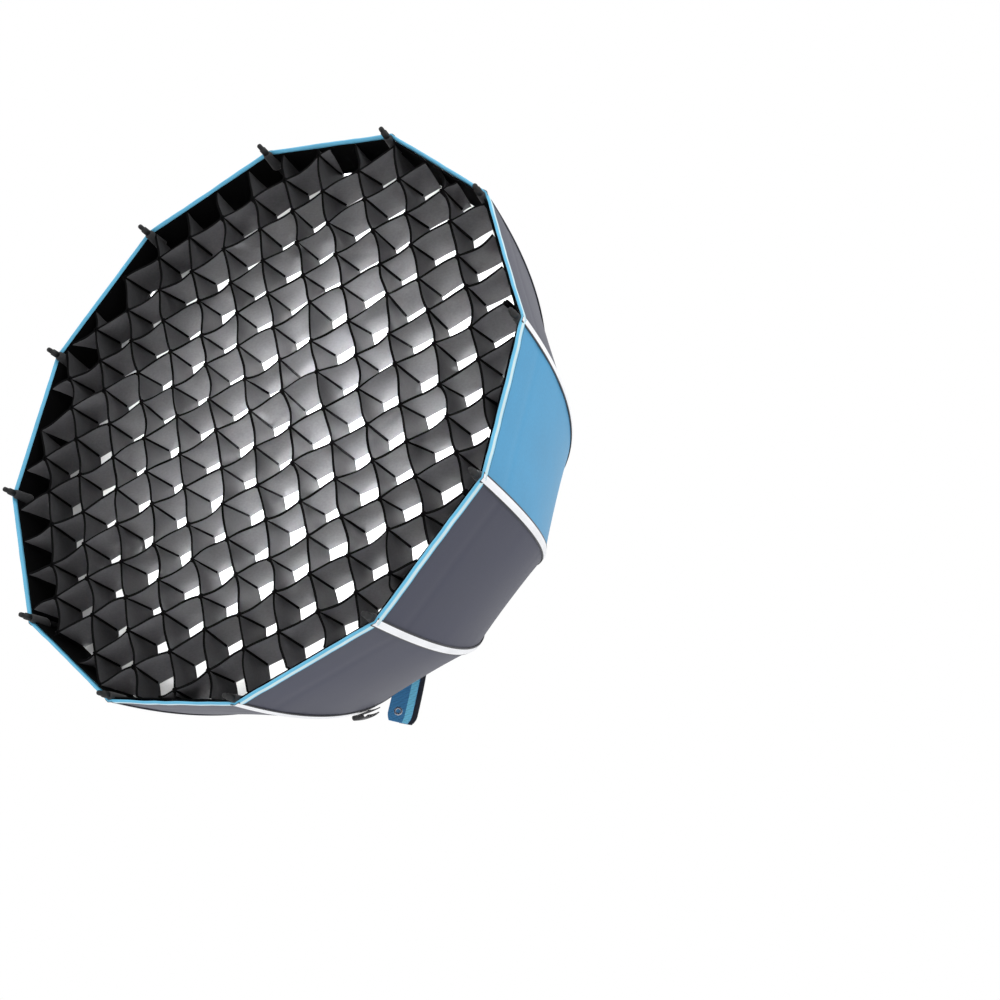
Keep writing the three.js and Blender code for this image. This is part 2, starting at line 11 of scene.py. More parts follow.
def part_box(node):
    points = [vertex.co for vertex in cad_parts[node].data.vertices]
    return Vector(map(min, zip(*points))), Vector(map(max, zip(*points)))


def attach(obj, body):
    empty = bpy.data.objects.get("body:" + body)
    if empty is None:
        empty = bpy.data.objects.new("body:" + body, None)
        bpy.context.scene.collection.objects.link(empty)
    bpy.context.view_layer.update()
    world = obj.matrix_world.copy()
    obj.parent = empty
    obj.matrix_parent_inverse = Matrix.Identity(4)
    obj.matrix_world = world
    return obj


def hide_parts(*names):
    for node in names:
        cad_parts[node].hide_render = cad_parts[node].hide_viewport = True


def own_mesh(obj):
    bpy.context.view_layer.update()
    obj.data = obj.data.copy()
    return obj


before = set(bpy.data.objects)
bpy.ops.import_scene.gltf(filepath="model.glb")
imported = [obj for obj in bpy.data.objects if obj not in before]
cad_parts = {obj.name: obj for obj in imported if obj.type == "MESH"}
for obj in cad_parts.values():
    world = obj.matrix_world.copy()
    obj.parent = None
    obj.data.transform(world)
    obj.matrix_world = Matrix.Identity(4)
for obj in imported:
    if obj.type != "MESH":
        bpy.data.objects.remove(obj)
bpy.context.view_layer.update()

# ---- sizes, from the frame ----

MM = 0.001
RIBS = 12
STEP = 2 * math.pi / RIBS
FIRST_RIB = STEP / 2
BLUE_PANELS = (5, 11)

HUB_LO, HUB_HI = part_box("hub_ring")
PLATE_LO, PLATE_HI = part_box("rear_plate")
FLANGE_LO, FLANGE_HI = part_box("mount_flange")
GRID_LO, GRID_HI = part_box("front_grid")
SIDE_LO, SIDE_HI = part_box("panel_12")  # the panel on +X, straight across between two seams
WIRE_LO, WIRE_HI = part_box("hinge_wire")
BOLT_LO, BOLT_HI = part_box("latch_bolt")

HUB_FRONT = -HUB_LO.y
HUB_BACK = -HUB_HI.y
HUB_RADIUS = HUB_HI.x
PLATE_RADIUS = PLATE_HI.x
RIM_DEPTH = -SIDE_LO.y
RIM_RADIUS = SIDE_HI.z / math.sin(STEP / 2)
ROOT_RADIUS = 84.5 * MM
ROOT_DEPTH = -SIDE_HI.y
SWELL_RADIUS = 249 * MM
SWELL_DEPTH = HUB_FRONT + 32 * MM
HINGE_RADIUS = (WIRE_HI.x + 77.5 * MM) / 2
HINGE_DEPTH = -(WIRE_LO.y + WIRE_HI.y) / 2
GRID_FRONT = -GRID_LO.y
GRID_BACK = -GRID_HI.y
CLOTH_DEPTH = -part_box("front_diffuser")[0].y
ROD_LINE = 5.4 * MM  # rod centre behind the seam
ROD_RADIUS = 2.5 * MM
FABRIC = 0.6 * MM

GRID_PITCH = 41 * MM
GRID_TURN = math.radians(27)
GRID_SHIFT = (-5.5 * MM, 2.5 * MM)

# ---- geometry of the box ----


def at(radius, angle, depth):
    """A point round the optical axis: angle 0 is +X and a quarter turn is +Z, depth runs to -Y."""
    return Vector((radius * math.cos(angle), -depth, radius * math.sin(angle)))


def rib_angle(rib):
    return FIRST_RIB + rib * STEP


def seam(u):
    """Radius and depth of a seam, from the ring at 0 to the rim at 1."""
    a, b, c = (1 - u) ** 2, 2 * u * (1 - u), u * u
    return (
        a * ROOT_RADIUS + b * SWELL_RADIUS + c * RIM_RADIUS,
        a * ROOT_DEPTH + b * SWELL_DEPTH + c * RIM_DEPTH,
    )


def seam_way(u):
    """Unit direction of a seam as (outward, forward)."""
    r0, d0 = seam(max(u - 1e-3, 0))
    r1, d1 = seam(min(u + 1e-3, 1))
    long = math.hypot(r1 - r0, d1 - d0)
    return (r1 - r0) / long, (d1 - d0) / long


def seam_length(u0=0.0, u1=1.0, steps=200):
    points = [seam(u0 + (u1 - u0) * i / steps) for i in range(steps + 1)]
    return sum(math.dist(p, q) for p, q in zip(points, points[1:]))


SEAM_LENGTH = seam_length()


def last_share(holds, steps):
    """Where a test stops holding between 0 and 1, as the two shares on either side of it."""
    low, high = 0.0, 1.0
    for _ in range(steps):
        middle = (low + high) / 2
        if holds(middle):
            low = middle
        else:
            high = middle
    return low, high


def seam_share_at(depth):
    return last_share(lambda u: seam(u)[1] < depth, 40)[0]


SLACK_RIB = 6
SLACK_AT = 0.17


def tangent(rib):
    angle = rib_angle(rib)
    return (-math.sin(angle), 0.0, math.cos(angle))


def slack(rib, u):
    """The lower seam of the left blue panel hangs loose near the ring."""
    if rib % RIBS != SLACK_RIB:
        return Vector((0, 0, 0))
    hump = math.exp(-(((u - SLACK_AT) / 0.05) ** 2))
    return Vector(tangent(rib)) * (7 * MM * hump) + at(1, rib_angle(rib), -0.6) * (2.5 * MM * hump)


def seam_point(rib, u):
    r, d = seam(u)
    return at(r, rib_angle(rib), d) + slack(rib, u)


def rib_frame(rib, u, lift=0.0):
    """Point on a rib's line with its outward, forward and sideways unit vectors."""
    r, d = seam(u)
    out, forward = seam_way(u)
    angle = rib_angle(rib)
    way = at(out, angle, forward)
    up = at(forward, angle, -out)
    side = up.cross(way)
    return at(r, angle, d) + up * lift, way, up, side


# ---- meshes ----

SHARP = math.radians(35)


def placed(name, data):
    made = bpy.data.objects.new(name, data)
    bpy.context.scene.collection.objects.link(made)
    return made


def new_object(name, verts, faces, mats, face_mats=None, normals=None, uvs=None):
    mesh = bpy.data.meshes.new(name)
    mesh.from_pydata([tuple(v) for v in verts], [], faces)
    for mat in mats:
        mesh.materials.append(mat)
    if face_mats:
        mesh.polygons.foreach_set("material_index", face_mats)
    mesh.polygons.foreach_set("use_smooth", [True] * len(mesh.polygons))
    if uvs:
        layer = mesh.uv_layers.new(name="cloth")
        for loop in mesh.loops:
            layer.data[loop.index].uv = uvs[loop.vertex_index]
    if normals:
        custom = []
        for poly in mesh.polygons:
            flat = poly.normal.copy()
            for vertex in poly.vertices:
                given = normals[vertex]
                custom.append(tuple(given) if given.dot(flat) > 0.5 else tuple(flat))
        mesh.normals_split_custom_set(custom)
    return placed(name, mesh)


class Cloth:
    """Collects thin closed sheets, each given as rows of (point, normal, uv), into one mesh."""

    def __init__(self):
        self.verts, self.faces, self.mats, self.normals, self.uvs = [], [], [], [], []

    def sheet(self, rows, thick, face_mat, back_mat=None, swell=None):
        """Adds one sheet. swell thickens it on both sides, column by column."""
        count, width = len(rows), len(rows[0])
        base, shift = len(self.verts), count * width
        back_mat = face_mat if back_mat is None else back_mat
        for side in (0, 1):
            for row in rows:
                for j, (point, normal, uv) in enumerate(row):
                    extra = swell[j] if swell else 0.0
                    self.verts.append(point + normal * (extra - (thick + 2 * extra) * side))
                    self.normals.append(normal if side == 0 else -normal)
                    self.uvs.append(uv)

        def ix(i, j):
            return base + i * width + j

        front = set()
        for i in range(count - 1):
            for j in range(width - 1):
                quad = [ix(i, j), ix(i, j + 1), ix(i + 1, j + 1), ix(i + 1, j)]
                a, b, c = (self.verts[q] for q in quad[:3])
                if (b - a).cross(c - b).dot(self.normals[quad[0]]) < 0:
                    quad.reverse()
                front.update(zip(quad, [*quad[1:], quad[0]]))
                self.faces += [quad, [q + shift for q in reversed(quad)]]
                self.mats += [face_mat(i, j) if callable(face_mat) else face_mat, back_mat]
        edge = []
        for i in range(count - 1):
            edge += [(ix(i, 0), ix(i + 1, 0)), (ix(i + 1, width - 1), ix(i, width - 1))]
        for j in range(width - 1):
            edge += [(ix(0, j + 1), ix(0, j)), (ix(count - 1, j), ix(count - 1, j + 1))]
        for a, b in edge:
            if (a, b) in front:
                a, b = b, a
            self.faces.append([a, b, b + shift, a + shift])
            self.mats.append(face_mat(0, 0) if callable(face_mat) else face_mat)

    def build(self, name, mats):
        return new_object(name, self.verts, self.faces, mats, self.mats, self.normals, self.uvs)


def oval(wide, high, sides):
    """Points round an oval, as (sideways, upward)."""
    turns = [2 * math.pi * j / sides for j in range(sides)]
    return [(wide * math.cos(a), high * math.sin(a)) for a in turns]


def sweep(name, path, up, sections, mats):
    """A closed solid along a path, with one outline of (sideways, upward) points per station."""
    verts = []
    for i, (point, section) in enumerate(zip(path, sections)):
        before, after = path[max(i - 1, 0)], path[min(i + 1, len(path) - 1)]
        way = (after - before).normalized()
        rise = (up - way * up.dot(way)).normalized()
        side = rise.cross(way)
        verts += [point + side * s + rise * h for s, h in section]
    return tube(name, verts, len(sections[0]), mats)


def tube(name, verts, width, mats):
    """A solid with flat ends from cross sections of width points each."""
    faces = [list(range(width)), list(range(len(verts) - width, len(verts)))]
    for start in range(0, len(verts) - width, width):
        for j in range(width):
            a, b = start + j, start + (j + 1) % width
            faces.append([a, b, b + width, a + width])
    made = new_object(name, verts, faces, mats)
    fix_normals(made)
    return made


def closed_ring(name, verts, width, mats):
    """A ring whose cross sections of width points each follow one another all the way round."""
    count, faces = len(verts) // width, []
    for i in range(count):
        after = (i + 1) % count * width
        for j in range(width):
            k = (j + 1) % width
            faces.append([i * width + j, i * width + k, after + k, after + j])
    made = new_object(name, verts, faces, mats)
    fix_normals(made)
    return made


def fix_normals(made):
    work = bmesh.new()
    work.from_mesh(made.data)
    bmesh.ops.recalc_face_normals(work, faces=work.faces)
    work.to_mesh(made.data)
    work.free()


def turned(name, profile, mats, segments=160):
    """A ring round the optical axis from a closed profile of (radius, depth) points."""
    turns = [2 * math.pi * i / segments for i in range(segments)]
    verts = [at(r, angle, d) for angle in turns for r, d in profile]
    made = closed_ring(name, verts, len(profile), mats)
    made.data.set_sharp_from_angle(angle=SHARP)
    return made


def eased(points, radius, steps=3):
    """The same closed outline with each corner rounded."""
    result = []
    count = len(points)
    for i, point in enumerate(points):
        here = Vector(point)
        before, after = Vector(points[i - 1]) - here, Vector(points[(i + 1) % count]) - here
        reach = min(radius, before.length / 2.2, after.length / 2.2)
        start, end = here + before.normalized() * reach, here + after.normalized() * reach
        for k in range(steps + 1):
            t = k / steps
            result.append(tuple(start.lerp(here, t).lerp(here.lerp(end, t), t)))
    return result


def ring_profile(inner, outer, back, front, ease=0.6 * MM):
    return eased([(inner, back), (outer, back), (outer, front), (inner, front)], ease)


def block(name, low, high, mats, ease=0.5 * MM):
    """A box with eased edges."""
    mesh = bpy.data.meshes.new(name)
    work = bmesh.new()
    bmesh.ops.create_cube(work, size=1.0)
    low, high = Vector(low), Vector(high)
    for vert in work.verts:
        vert.co = Vector((low[i] + (vert.co[i] + 0.5) * (high[i] - low[i]) for i in range(3)))
    if ease:
        bmesh.ops.bevel(work, geom=work.edges[:], offset=ease, segments=3, affect="EDGES")
    work.to_mesh(mesh)
    work.free()
    for mat in mats:
        mesh.materials.append(mat)
    mesh.polygons.foreach_set("use_smooth", [True] * len(mesh.polygons))
    mesh.set_sharp_from_angle(angle=SHARP)
    return placed(name, mesh)


def rod_between(name, start, end, radius, mats, ease=0.4 * MM):
    """A round bar with eased ends."""
    sides = 32
    axis = (end - start).normalized()
    other = Vector((0, 0, 1)) if abs(axis.z) < 0.9 else Vector((1, 0, 0))
    side = axis.cross(other).normalized()
    up = side.cross(axis)
    stations = [(0, radius - ease), (ease * 0.3, radius - ease * 0.3), (ease, radius)]
    long = (end - start).length
    stations += [(long - s, r) for s, r in reversed(stations)]
    verts = []
    for along, r in stations:
        verts += [start + axis * along + side * x + up * y for x, y in oval(r, r, sides)]
    made = tube(name, verts, sides, mats)
    made.data.set_sharp_from_angle(angle=math.radians(40))
    return made


def cut(made, cutters):
    """Cuts each cutter out of a solid and removes the cutters."""
    for cutter in cutters:
        step = made.modifiers.new("cut", "BOOLEAN")
        step.operation, step.object, step.solver = "DIFFERENCE", cutter, "EXACT"
        dg = bpy.context.evaluated_depsgraph_get()
        result = bpy.data.meshes.new_from_object(made.evaluated_get(dg))
        made.modifiers.clear()
        made.data = result
        bpy.data.objects.remove(cutter)
    made.data.set_sharp_from_angle(angle=SHARP)
    return made


def settle(piece, body, slot, *nodes):
    """The body a piece rides on, its finish, which is not used, and the plain nodes it stands for, which
    are hidden.
    """
    if nodes:
        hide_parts(*nodes)
    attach(piece, body)


def joined(name, objects):
    """Several objects as one, in the first one's place."""
    mats, verts, faces, picked = [], [], [], []
    for obj in objects:
        for mat in obj.data.materials:
            if mat not in mats:
                mats.append(mat)
        base = len(verts)
        verts += [obj.matrix_world @ v.co for v in obj.data.vertices]
        for poly in obj.data.polygons:
            faces.append([base + v for v in poly.vertices])
            picked.append(mats.index(obj.data.materials[poly.material_index]))
        bpy.data.objects.remove(obj)
    made = new_object(name, verts, faces, mats, picked)
    made.data.set_sharp_from_angle(angle=SHARP)
    return made


# ---- materials ----


class Nodes:
    """A short way to write a node tree."""

    def __init__(self, name):
        self.mat = bpy.data.materials.new(name)
        self.mat.use_nodes = True
        self.tree = self.mat.node_tree
        self.shader = self.tree.nodes["Principled BSDF"]

    def add(self, kind, **settings):
        node = self.tree.nodes.new("ShaderNode" + kind)
        for key, value in settings.items():
            if hasattr(node, key):
                setattr(node, key, value)
            else:
                node.inputs[key.replace("_", " ").title()].default_value = value
        return node

    def link(self, out, into):
        self.tree.links.new(out, into)

    def set(self, **values):
        for key, value in values.items():
            self.shader.inputs[key.replace("_", " ")].default_value = value

    def place(self, scale=(1, 1, 1), source="Object"):
        coordinates = self.add("TexCoord")
        mapping = self.add("Mapping")
        mapping.inputs["Scale"].default_value = scale
        self.link(coordinates.outputs[source], mapping.inputs["Vector"])
        return mapping.outputs["Vector"]

    def ramp(self, value, stops):
        stops = list(stops)
        node = self.add("ValToRGB")
        while len(node.color_ramp.elements) < len(stops):
            node.color_ramp.elements.new(0.5)
        for element, (place, colour) in zip(node.color_ramp.elements, stops):
            element.position = place
            element.color = (*colour, 1)
        self.link(value, node.inputs["Fac"])
        return node.outputs["Color"]

    def math(self, operation, a, b=None):
        node = self.add("Math", operation=operation)
        for socket, value in zip(node.inputs, (a, b)):
            if value is None:
                continue
            if isinstance(value, (int, float)):
                socket.default_value = value
            else:
                self.link(value, socket)
        return node.outputs[0]

    def noise(self, scale, detail=2.0, stretch=(1, 1, 1)):
        node = self.add("TexNoise")
        node.inputs["Scale"].default_value = scale
        node.inputs["Detail"].default_value = detail
        self.link(self.place(scale=stretch), node.inputs["Vector"])
        return node.outputs["Fac"]

    def bands(self, place, direction, scale, distortion, detail=2.0):
        node = self.add("TexWave", wave_type="BANDS", bands_direction=direction)
        node.inputs["Scale"].default_value = scale
        node.inputs["Distortion"].default_value = distortion
        node.inputs["Detail"].default_value = detail
        self.link(place, node.inputs["Vector"])
        return node.outputs["Fac"]

    def tone(self, value, low, high, places=(0.3, 0.7)):
        """Colour running between two tones."""
        self.link(self.ramp(value, zip(places, (low, high))), self.shader.inputs["Base Color"])

    def uneven(self, value, low, high):
        """Roughness running between two values."""
        stops = [(0.3, (low,) * 3), (0.7, (high,) * 3)]
        self.link(self.ramp(value, stops), self.shader.inputs["Roughness"])

    def bump(self, height, strength, distance):
        node = self.add("Bump")
        node.inputs["Strength"].default_value = strength
        node.inputs["Distance"].default_value = distance
        self.link(height, node.inputs["Height"])
        self.link(node.outputs["Normal"], self.shader.inputs["Normal"])


def shade(colour, factor):
    return tuple(min(1.0, c * factor) for c in colour)


WEB_RIB = 1.7 * MM
TAPE_TWILL = 1.6 * MM
GRID_THREAD = 1.6 * MM


def woven(name, colour, thread=1.3 * MM, rough=0.68, sheen=0.25, blotch=0.12, gloss=0.5):
    """Tightly woven cloth: crossing threads in the cloth's own map, and soft tone changes."""
    n = Nodes(name)
    place = n.place(source="UV")
    waves = [n.bands(place, axis, 0.314 / thread, 0.35, detail=1.0) for axis in ("X", "Y")]
    threads = n.math("MULTIPLY", *waves)
    patches, fine = n.noise(9.0, 4.0), n.noise(420.0)
    tone = n.math("ADD", n.math("MULTIPLY", patches, 0.75), n.math("MULTIPLY", fine, 0.25))
    n.tone(tone, shade(colour, 1 - blotch), shade(colour, 1 + blotch))
    n.uneven(patches, rough - 0.05, rough + 0.06)
    n.set(Sheen_Weight=sheen, Sheen_Roughness=0.4, Specular_IOR_Level=gloss)
    n.bump(threads, 0.25, 0.12 * MM)
    return n.mat


def webbing(name, colour):
    """Ribbed tape: raised cross threads with a slight herringbone."""
    n = Nodes(name)
    place = n.place(source="UV")
    ribs = n.bands(place, "Y", 0.314 / WEB_RIB, 0.6)
    slant = n.bands(place, "DIAGONAL", 0.2 / WEB_RIB, 0.2)
    height = n.math("ADD", ribs, n.math("MULTIPLY", slant, 0.5))
    n.tone(height, shade(colour, 0.8), shade(colour, 1.12), (0.2, 0.8))
    n.set(Roughness=0.7, Sheen_Weight=0.2, Sheen_Roughness=0.5)
    n.bump(height, 0.5, 0.25 * MM)
    return n.mat


def tape(name, colour, rough=0.45):
    """Smooth edge tape with a fine twill."""
    n = Nodes(name)
    twill = n.bands(n.place(source="UV"), "DIAGONAL", 0.314 / TAPE_TWILL, 0.5)
    n.tone(n.noise(35.0, 3.0), shade(colour, 0.93), shade(colour, 1.04))
    n.set(Roughness=rough, Sheen_Weight=0.15)
    n.bump(twill, 0.2, 0.1 * MM)
    return n.mat


def metal(name, colour, rough=0.35, brushed=False):
    """Cast or plated metal with a fine grain and slightly uneven gloss."""
    n = Nodes(name)
    fine = n.noise(1.0, 3.0, (60, 2600, 60) if brushed else (900.0, 900.0, 900.0))
    patches = n.noise(28.0, 5.0)
    n.tone(patches, shade(colour, 0.9), shade(colour, 1.06))
    n.uneven(patches, rough - 0.06, rough + 0.06)
    n.set(Metallic=1.0)
    n.bump(fine, 0.12, 0.08 * MM)
    return n.mat


def moulded(name, colour, rough=0.45):
    """Moulded plastic or a coated rod with a fine leathery grain."""
    n = Nodes(name)
    grain = n.add("TexVoronoi")
    grain.inputs["Scale"].default_value = 1100.0
    n.link(n.place(), grain.inputs["Vector"])
    patches = n.noise(60.0)
    n.tone(patches, shade(colour, 0.8), shade(colour, 1.3))
    n.uneven(patches, rough - 0.06, rough + 0.08)
    n.bump(grain.outputs["Distance"], 0.15, 0.1 * MM)
    return n.mat


HOT_SPOT = (0.05, 0.0)  # where the lamp's glow is strongest on the diffuser


def diffusion(name):
    """Thin white cloth that passes light through, with the lamp's hot spot painted in: it passes less light
    further from HOT_SPOT.
    """
    n = Nodes(name)
    weave = n.noise(600.0)
    n.tone(weave, (0.86, 0.86, 0.86), (0.94, 0.94, 0.93))
    n.set(Roughness=0.8, Sheen_Weight=0.1)
    n.bump(weave, 0.1, 0.1 * MM)
    through = n.add("BsdfTranslucent")
    parts = n.add("SeparateXYZ")
    n.link(n.place(), parts.inputs[0])
    across = n.math("POWER", n.math("ADD", parts.outputs["X"], -HOT_SPOT[0]), 2.0)
    down = n.math("POWER", n.math("ADD", parts.outputs["Z"], -HOT_SPOT[1]), 2.0)
    away = n.math("SQRT", n.math("ADD", across, down))
    # painted light: the cloth passes less light the further it lies from HOT_SPOT, a painted falloff of the
    # lamp's hot spot
    n.link(
        n.ramp(
            n.math("MULTIPLY", away, 1 / RIM_RADIUS),
            [(0.0, (1, 1, 1)), (0.35, (0.75,) * 3), (0.65, (0.36,) * 3), (1.0, (0.08,) * 3)],
        ),
        through.inputs["Color"],
    )
    mix = n.add("MixShader")
    mix.inputs["Fac"].default_value = 0.55
    n.link(n.shader.outputs["BSDF"], mix.inputs[1])
    n.link(through.outputs["BSDF"], mix.inputs[2])
    n.link(mix.outputs["Shader"], n.tree.nodes["Material Output"].inputs["Surface"])
    return n.mat


CHARCOAL = woven("charcoal_fabric", (0.04, 0.043, 0.071), sheen=0.1)
BLUE = woven("blue_fabric", (0.055, 0.285, 0.51), sheen=0.12)
LINING = woven("silver_lining", (0.42, 0.425, 0.43), rough=0.4, sheen=0.0)
WALL_WEAVE = {"thread": GRID_THREAD, "rough": 0.85, "sheen": 0.0, "blotch": 0.3, "gloss": 0.2}
GRID_CLOTH = woven("grid_cloth", (0.108, 0.107, 0.113), **WALL_WEAVE)
# A darker copy of the grid cloth for the walls along v: painted shade on one family of walls.
GRID_CLOTH_PAINTED_SHADE = woven("grid_cloth_painted_shade", (0.034, 0.034, 0.036), **WALL_WEAVE)
GRID_HEM = woven("grid_hem", (0.002, 0.002, 0.0022), GRID_THREAD, 0.9, 0.0, 0.2, 0.04)
WHITE_TAPE = tape("white_tape", (0.86, 0.87, 0.9))
# Dark lines along the seam tapes' edges and behind the rim binding: dark stitching and painted shade.
DARK_EDGE = tape("dark_stitching_and_shade", (0.012, 0.013, 0.02), rough=0.7)
BINDING = tape("sky_binding", (0.11, 0.46, 0.7), rough=0.5)
# A pale copy of the binding for a band along its rounded outer face: a painted highlight.
BINDING_PAINTED_HIGHLIGHT = tape("binding_painted_highlight", (0.56, 0.72, 0.76), rough=0.5)
BLUE_WEB = webbing("blue_webbing", (0.03, 0.18, 0.39))
# A lighter copy of the blue webbing for the strap's curled edge: a painted highlight.
STRAP_WEB_PAINTED_HIGHLIGHT = webbing("strap_webbing_painted_highlight", (0.16, 0.56, 0.8))
NAVY_WEB = webbing("navy_webbing", (0.006, 0.009, 0.02))
BLACK_WEB = webbing("black_webbing", (0.012, 0.012, 0.014))
ALLOY = metal("cast_alloy", (0.62, 0.63, 0.66), rough=0.4)
STEEL = metal("plated_steel", (0.66, 0.67, 0.7), rough=0.3, brushed=True)
WIRE = metal("spring_steel", (0.5, 0.51, 0.53), rough=0.25, brushed=True)
ROD = moulded("coated_rod", (0.004, 0.004, 0.0045), rough=0.6)
PLASTIC = moulded("black_plastic", (0.014, 0.014, 0.016), rough=0.5)
DIFFUSION = diffusion("white_diffusion")

# ---- camera ----

AIM_AZIMUTH = math.radians(39.19)
AIM_ELEVATION = math.radians(-20.18)
AIM_ROLL = math.radians(13.76)
CAMERA_DISTANCE = 2.587
LENS = 95.69
RIM_TO_AIM = 0.15  # the aim point sits this far behind the rim plane
AIM_SIDE, AIM_UP = 0.1479, -0.0209


def make_camera():
    back = Vector((
        math.sin(AIM_AZIMUTH) * math.cos(AIM_ELEVATION),
        -math.cos(AIM_AZIMUTH) * math.cos(AIM_ELEVATION),
        math.sin(AIM_ELEVATION),
    ))
    level = Vector((0, 0, 1)).cross(back).normalized()
    rise = back.cross(level)
    right = math.cos(AIM_ROLL) * level + math.sin(AIM_ROLL) * rise
    up = back.cross(right)
    target = Vector((0, RIM_TO_AIM - RIM_DEPTH, 0)) + right * AIM_SIDE + up * AIM_UP
    data = bpy.data.cameras.new("camera")
    data.lens, data.sensor_width = LENS, 36
    data.clip_start, data.clip_end = 0.05, 100
    pose = Matrix((right, up, back)).transposed().to_4x4()
    pose.translation = target + back * CAMERA_DISTANCE
    camera = placed("camera", data)
    camera.matrix_world = pose
    bpy.context.scene.camera = camera


# ---- the dome ----

BREAKS = (0.0, 0.13, 0.27, 0.41, 0.55, 0.7, 0.85, 1.0)
ACROSS = 9
SKIRT = 6 * MM  # each piece tucks this far under the one nearer the ring
UNDER = 0.9 * MM
ROWS_PER_UNIT = 60
PANEL_SAG = 2.2 * MM
PANEL_WIDTH = 155 * MM  # nominal width at the rim, for the sag and the binding's map
CREASE_BACK = 46 * MM  # a crease runs across each panel this far behind the rim


def wrinkle(panel, u, s):
    """How far the cloth of a panel stands off the straight line between its seams."""
    r, d = seam(u)
    width = 2 * r * math.sin(STEP / 2)
    along = u * SEAM_LENGTH
    across = s * width
    ends = math.sin(math.pi * min(1, u * 1.02))
    sag = -PANEL_SAG * 4 * s * (1 - s) * ends * (width / PANEL_WIDTH)
    to_seam = min(across, width - across)
    seed = panel * 3.7
    pucker = noise.noise(Vector((along * 55, seed, across * 6)))
    pucker *= 0.5 * MM * math.exp(-to_seam / (16 * MM))
    rolling = 0.9 * MM * noise.noise(Vector((along * 9, seed, across * 13)))
    rim = RIM_DEPTH - d
    crease = -0.4 * MM * math.exp(-(((rim - CREASE_BACK) / (6 * MM)) ** 2))
    hem = 0.5 * MM * noise.noise(Vector((across * 60, seed, 2.0))) * math.exp(-rim / (14 * MM))
    fade = min(1.0, to_seam / (7 * MM))
    return sag + pucker + (rolling + crease + hem) * fade


def panel_point(panel, u, s):
    a, b = seam_point(panel, u), seam_point(panel + 1, u)
    middle = rib_angle(panel) + STEP / 2
    out, forward = seam_way(u)
    normal = at(forward, middle, -out * math.cos(STEP / 2)).normalized()
    return a.lerp(b, s) + normal * wrinkle(panel, u, s)


def panel_sample(panel, u, s):
    """Point, normal and cloth map place, the same for both pieces that meet there."""
    step = 1e-3
    u0, u1 = max(u - step, 0), min(u + step, 1)
    s0, s1 = max(s - step * 4, 0), min(s + step * 4, 1)
    along = panel_point(panel, u1, s) - panel_point(panel, u0, s)
    across = panel_point(panel, u, s1) - panel_point(panel, u, s0)
    normal = across.cross(along).normalized()
    r, _ = seam(u)
    point = panel_point(panel, u, s)
    if normal.dot(at(1, rib_angle(panel) + STEP / 2, -0.2)) < 0:
        normal = -normal
    return point, normal, ((s - 0.5) * 2 * r * math.sin(STEP / 2), u * SEAM_LENGTH)


def rib_name(rib):
    return f"{rib % RIBS + 1:02d}"


def gather(piece):
    """Gives the cloth round a rib its own copy of its mesh."""
    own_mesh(piece)


def make_gore(rib, part):
    """The cloth on both sides of one rib, half a panel each way, between two breaks."""
    low, high = BREAKS[part], BREAKS[part + 1]
    rows = max(4, round((high - low) * ROWS_PER_UNIT))
    stations = [(low + (high - low) * i / rows, 0.0) for i in range(rows + 1)]
    if part:
        stations = [(low - SKIRT / SEAM_LENGTH, UNDER), (low - 0.3 * MM / SEAM_LENGTH, UNDER), *stations]
    cloth = Cloth()
    mats = [CHARCOAL, BLUE, LINING]
    for panel, from_s, to_s in (((rib - 1) % RIBS, 0.5, 1.0), (rib, 0.0, 0.5)):
        grid = []
        for u, under in stations:
            row = []
            for j in range(ACROSS + 1):
                point, normal, place = panel_sample(panel, u, from_s + (to_s - from_s) * j / ACROSS)
                row.append((point - normal * under, normal, place))
            grid.append(row)
        cloth.sheet(grid, FABRIC, 1 if panel in BLUE_PANELS else 0, 2)
    piece = cloth.build(f"dome_cloth_{rib_name(rib)}_{part + 1}", mats)
    gather(piece)
    colour = "blue_fabric" if rib in BLUE_PANELS else "charcoal_fabric"
    settle(piece, f"rib_{rib_name(rib)}", colour, f"panel_{rib_name(rib)}")


TAPE_HALF = 5.05 * MM
TAPE_THICK = 0.9 * MM
TAPE_ROWS = 72
EDGE_WIDTH = 1.5 * MM


def make_seam_tape(rib):
    """White tape over a seam, with a dark edge each side: dark stitching and painted shade."""
    cloth = Cloth()
    edge = 1 - EDGE_WIDTH / TAPE_HALF
    places = [-1, -edge, -0.45, -0.15, 0, 0.15, 0.45, edge, 1]
    drop = math.tan(STEP / 2) * 0.93
    grid = []
    for i in range(TAPE_ROWS + 1):
        u = i / TAPE_ROWS
        point, _, up, side = rib_frame(rib, u)
        point += slack(rib, u)
        slope = drop * seam_way(u)[1] + 0.02
        row = []
        for s in places:
            crown = TAPE_THICK * (1.0 + 0.35 * (1 - s * s))
            p = point + side * (s * TAPE_HALF) + up * (crown - abs(s) * TAPE_HALF * slope)
            n = (up + side * (0.5 * s)).normalized()
            row.append((p, n, (s * TAPE_HALF, u * SEAM_LENGTH)))
        grid.append(row)
    # the outermost strip each side takes the dark edge, dark stitching and painted shade
    cloth.sheet(grid, TAPE_THICK, lambda i, j: 1 if j in (0, len(places) - 2) else 0, 1)
    piece = cloth.build(f"seam_tape_{rib_name(rib)}", [WHITE_TAPE, DARK_EDGE])
    settle(piece, f"rib_{rib_name(rib)}", "white_tape")


BINDING_WIDTH = 8.5 * MM
BINDING_PROFILE = (  # back from the edge, height, lean of the surface; None where it has turned inside
    (BINDING_WIDTH + 1.4 * MM, 0.3 * MM, 0), (BINDING_WIDTH, 0.7 * MM, 0.1), (6.4 * MM, 1.1 * MM, 0.1),
    (2.0 * MM, 1.0 * MM, 0.3), (0.2 * MM, 0.3 * MM, 1.5), (0.5 * MM, -1.3 * MM, None),
    (BINDING_WIDTH * 0.7, -1.5 * MM, None),
)


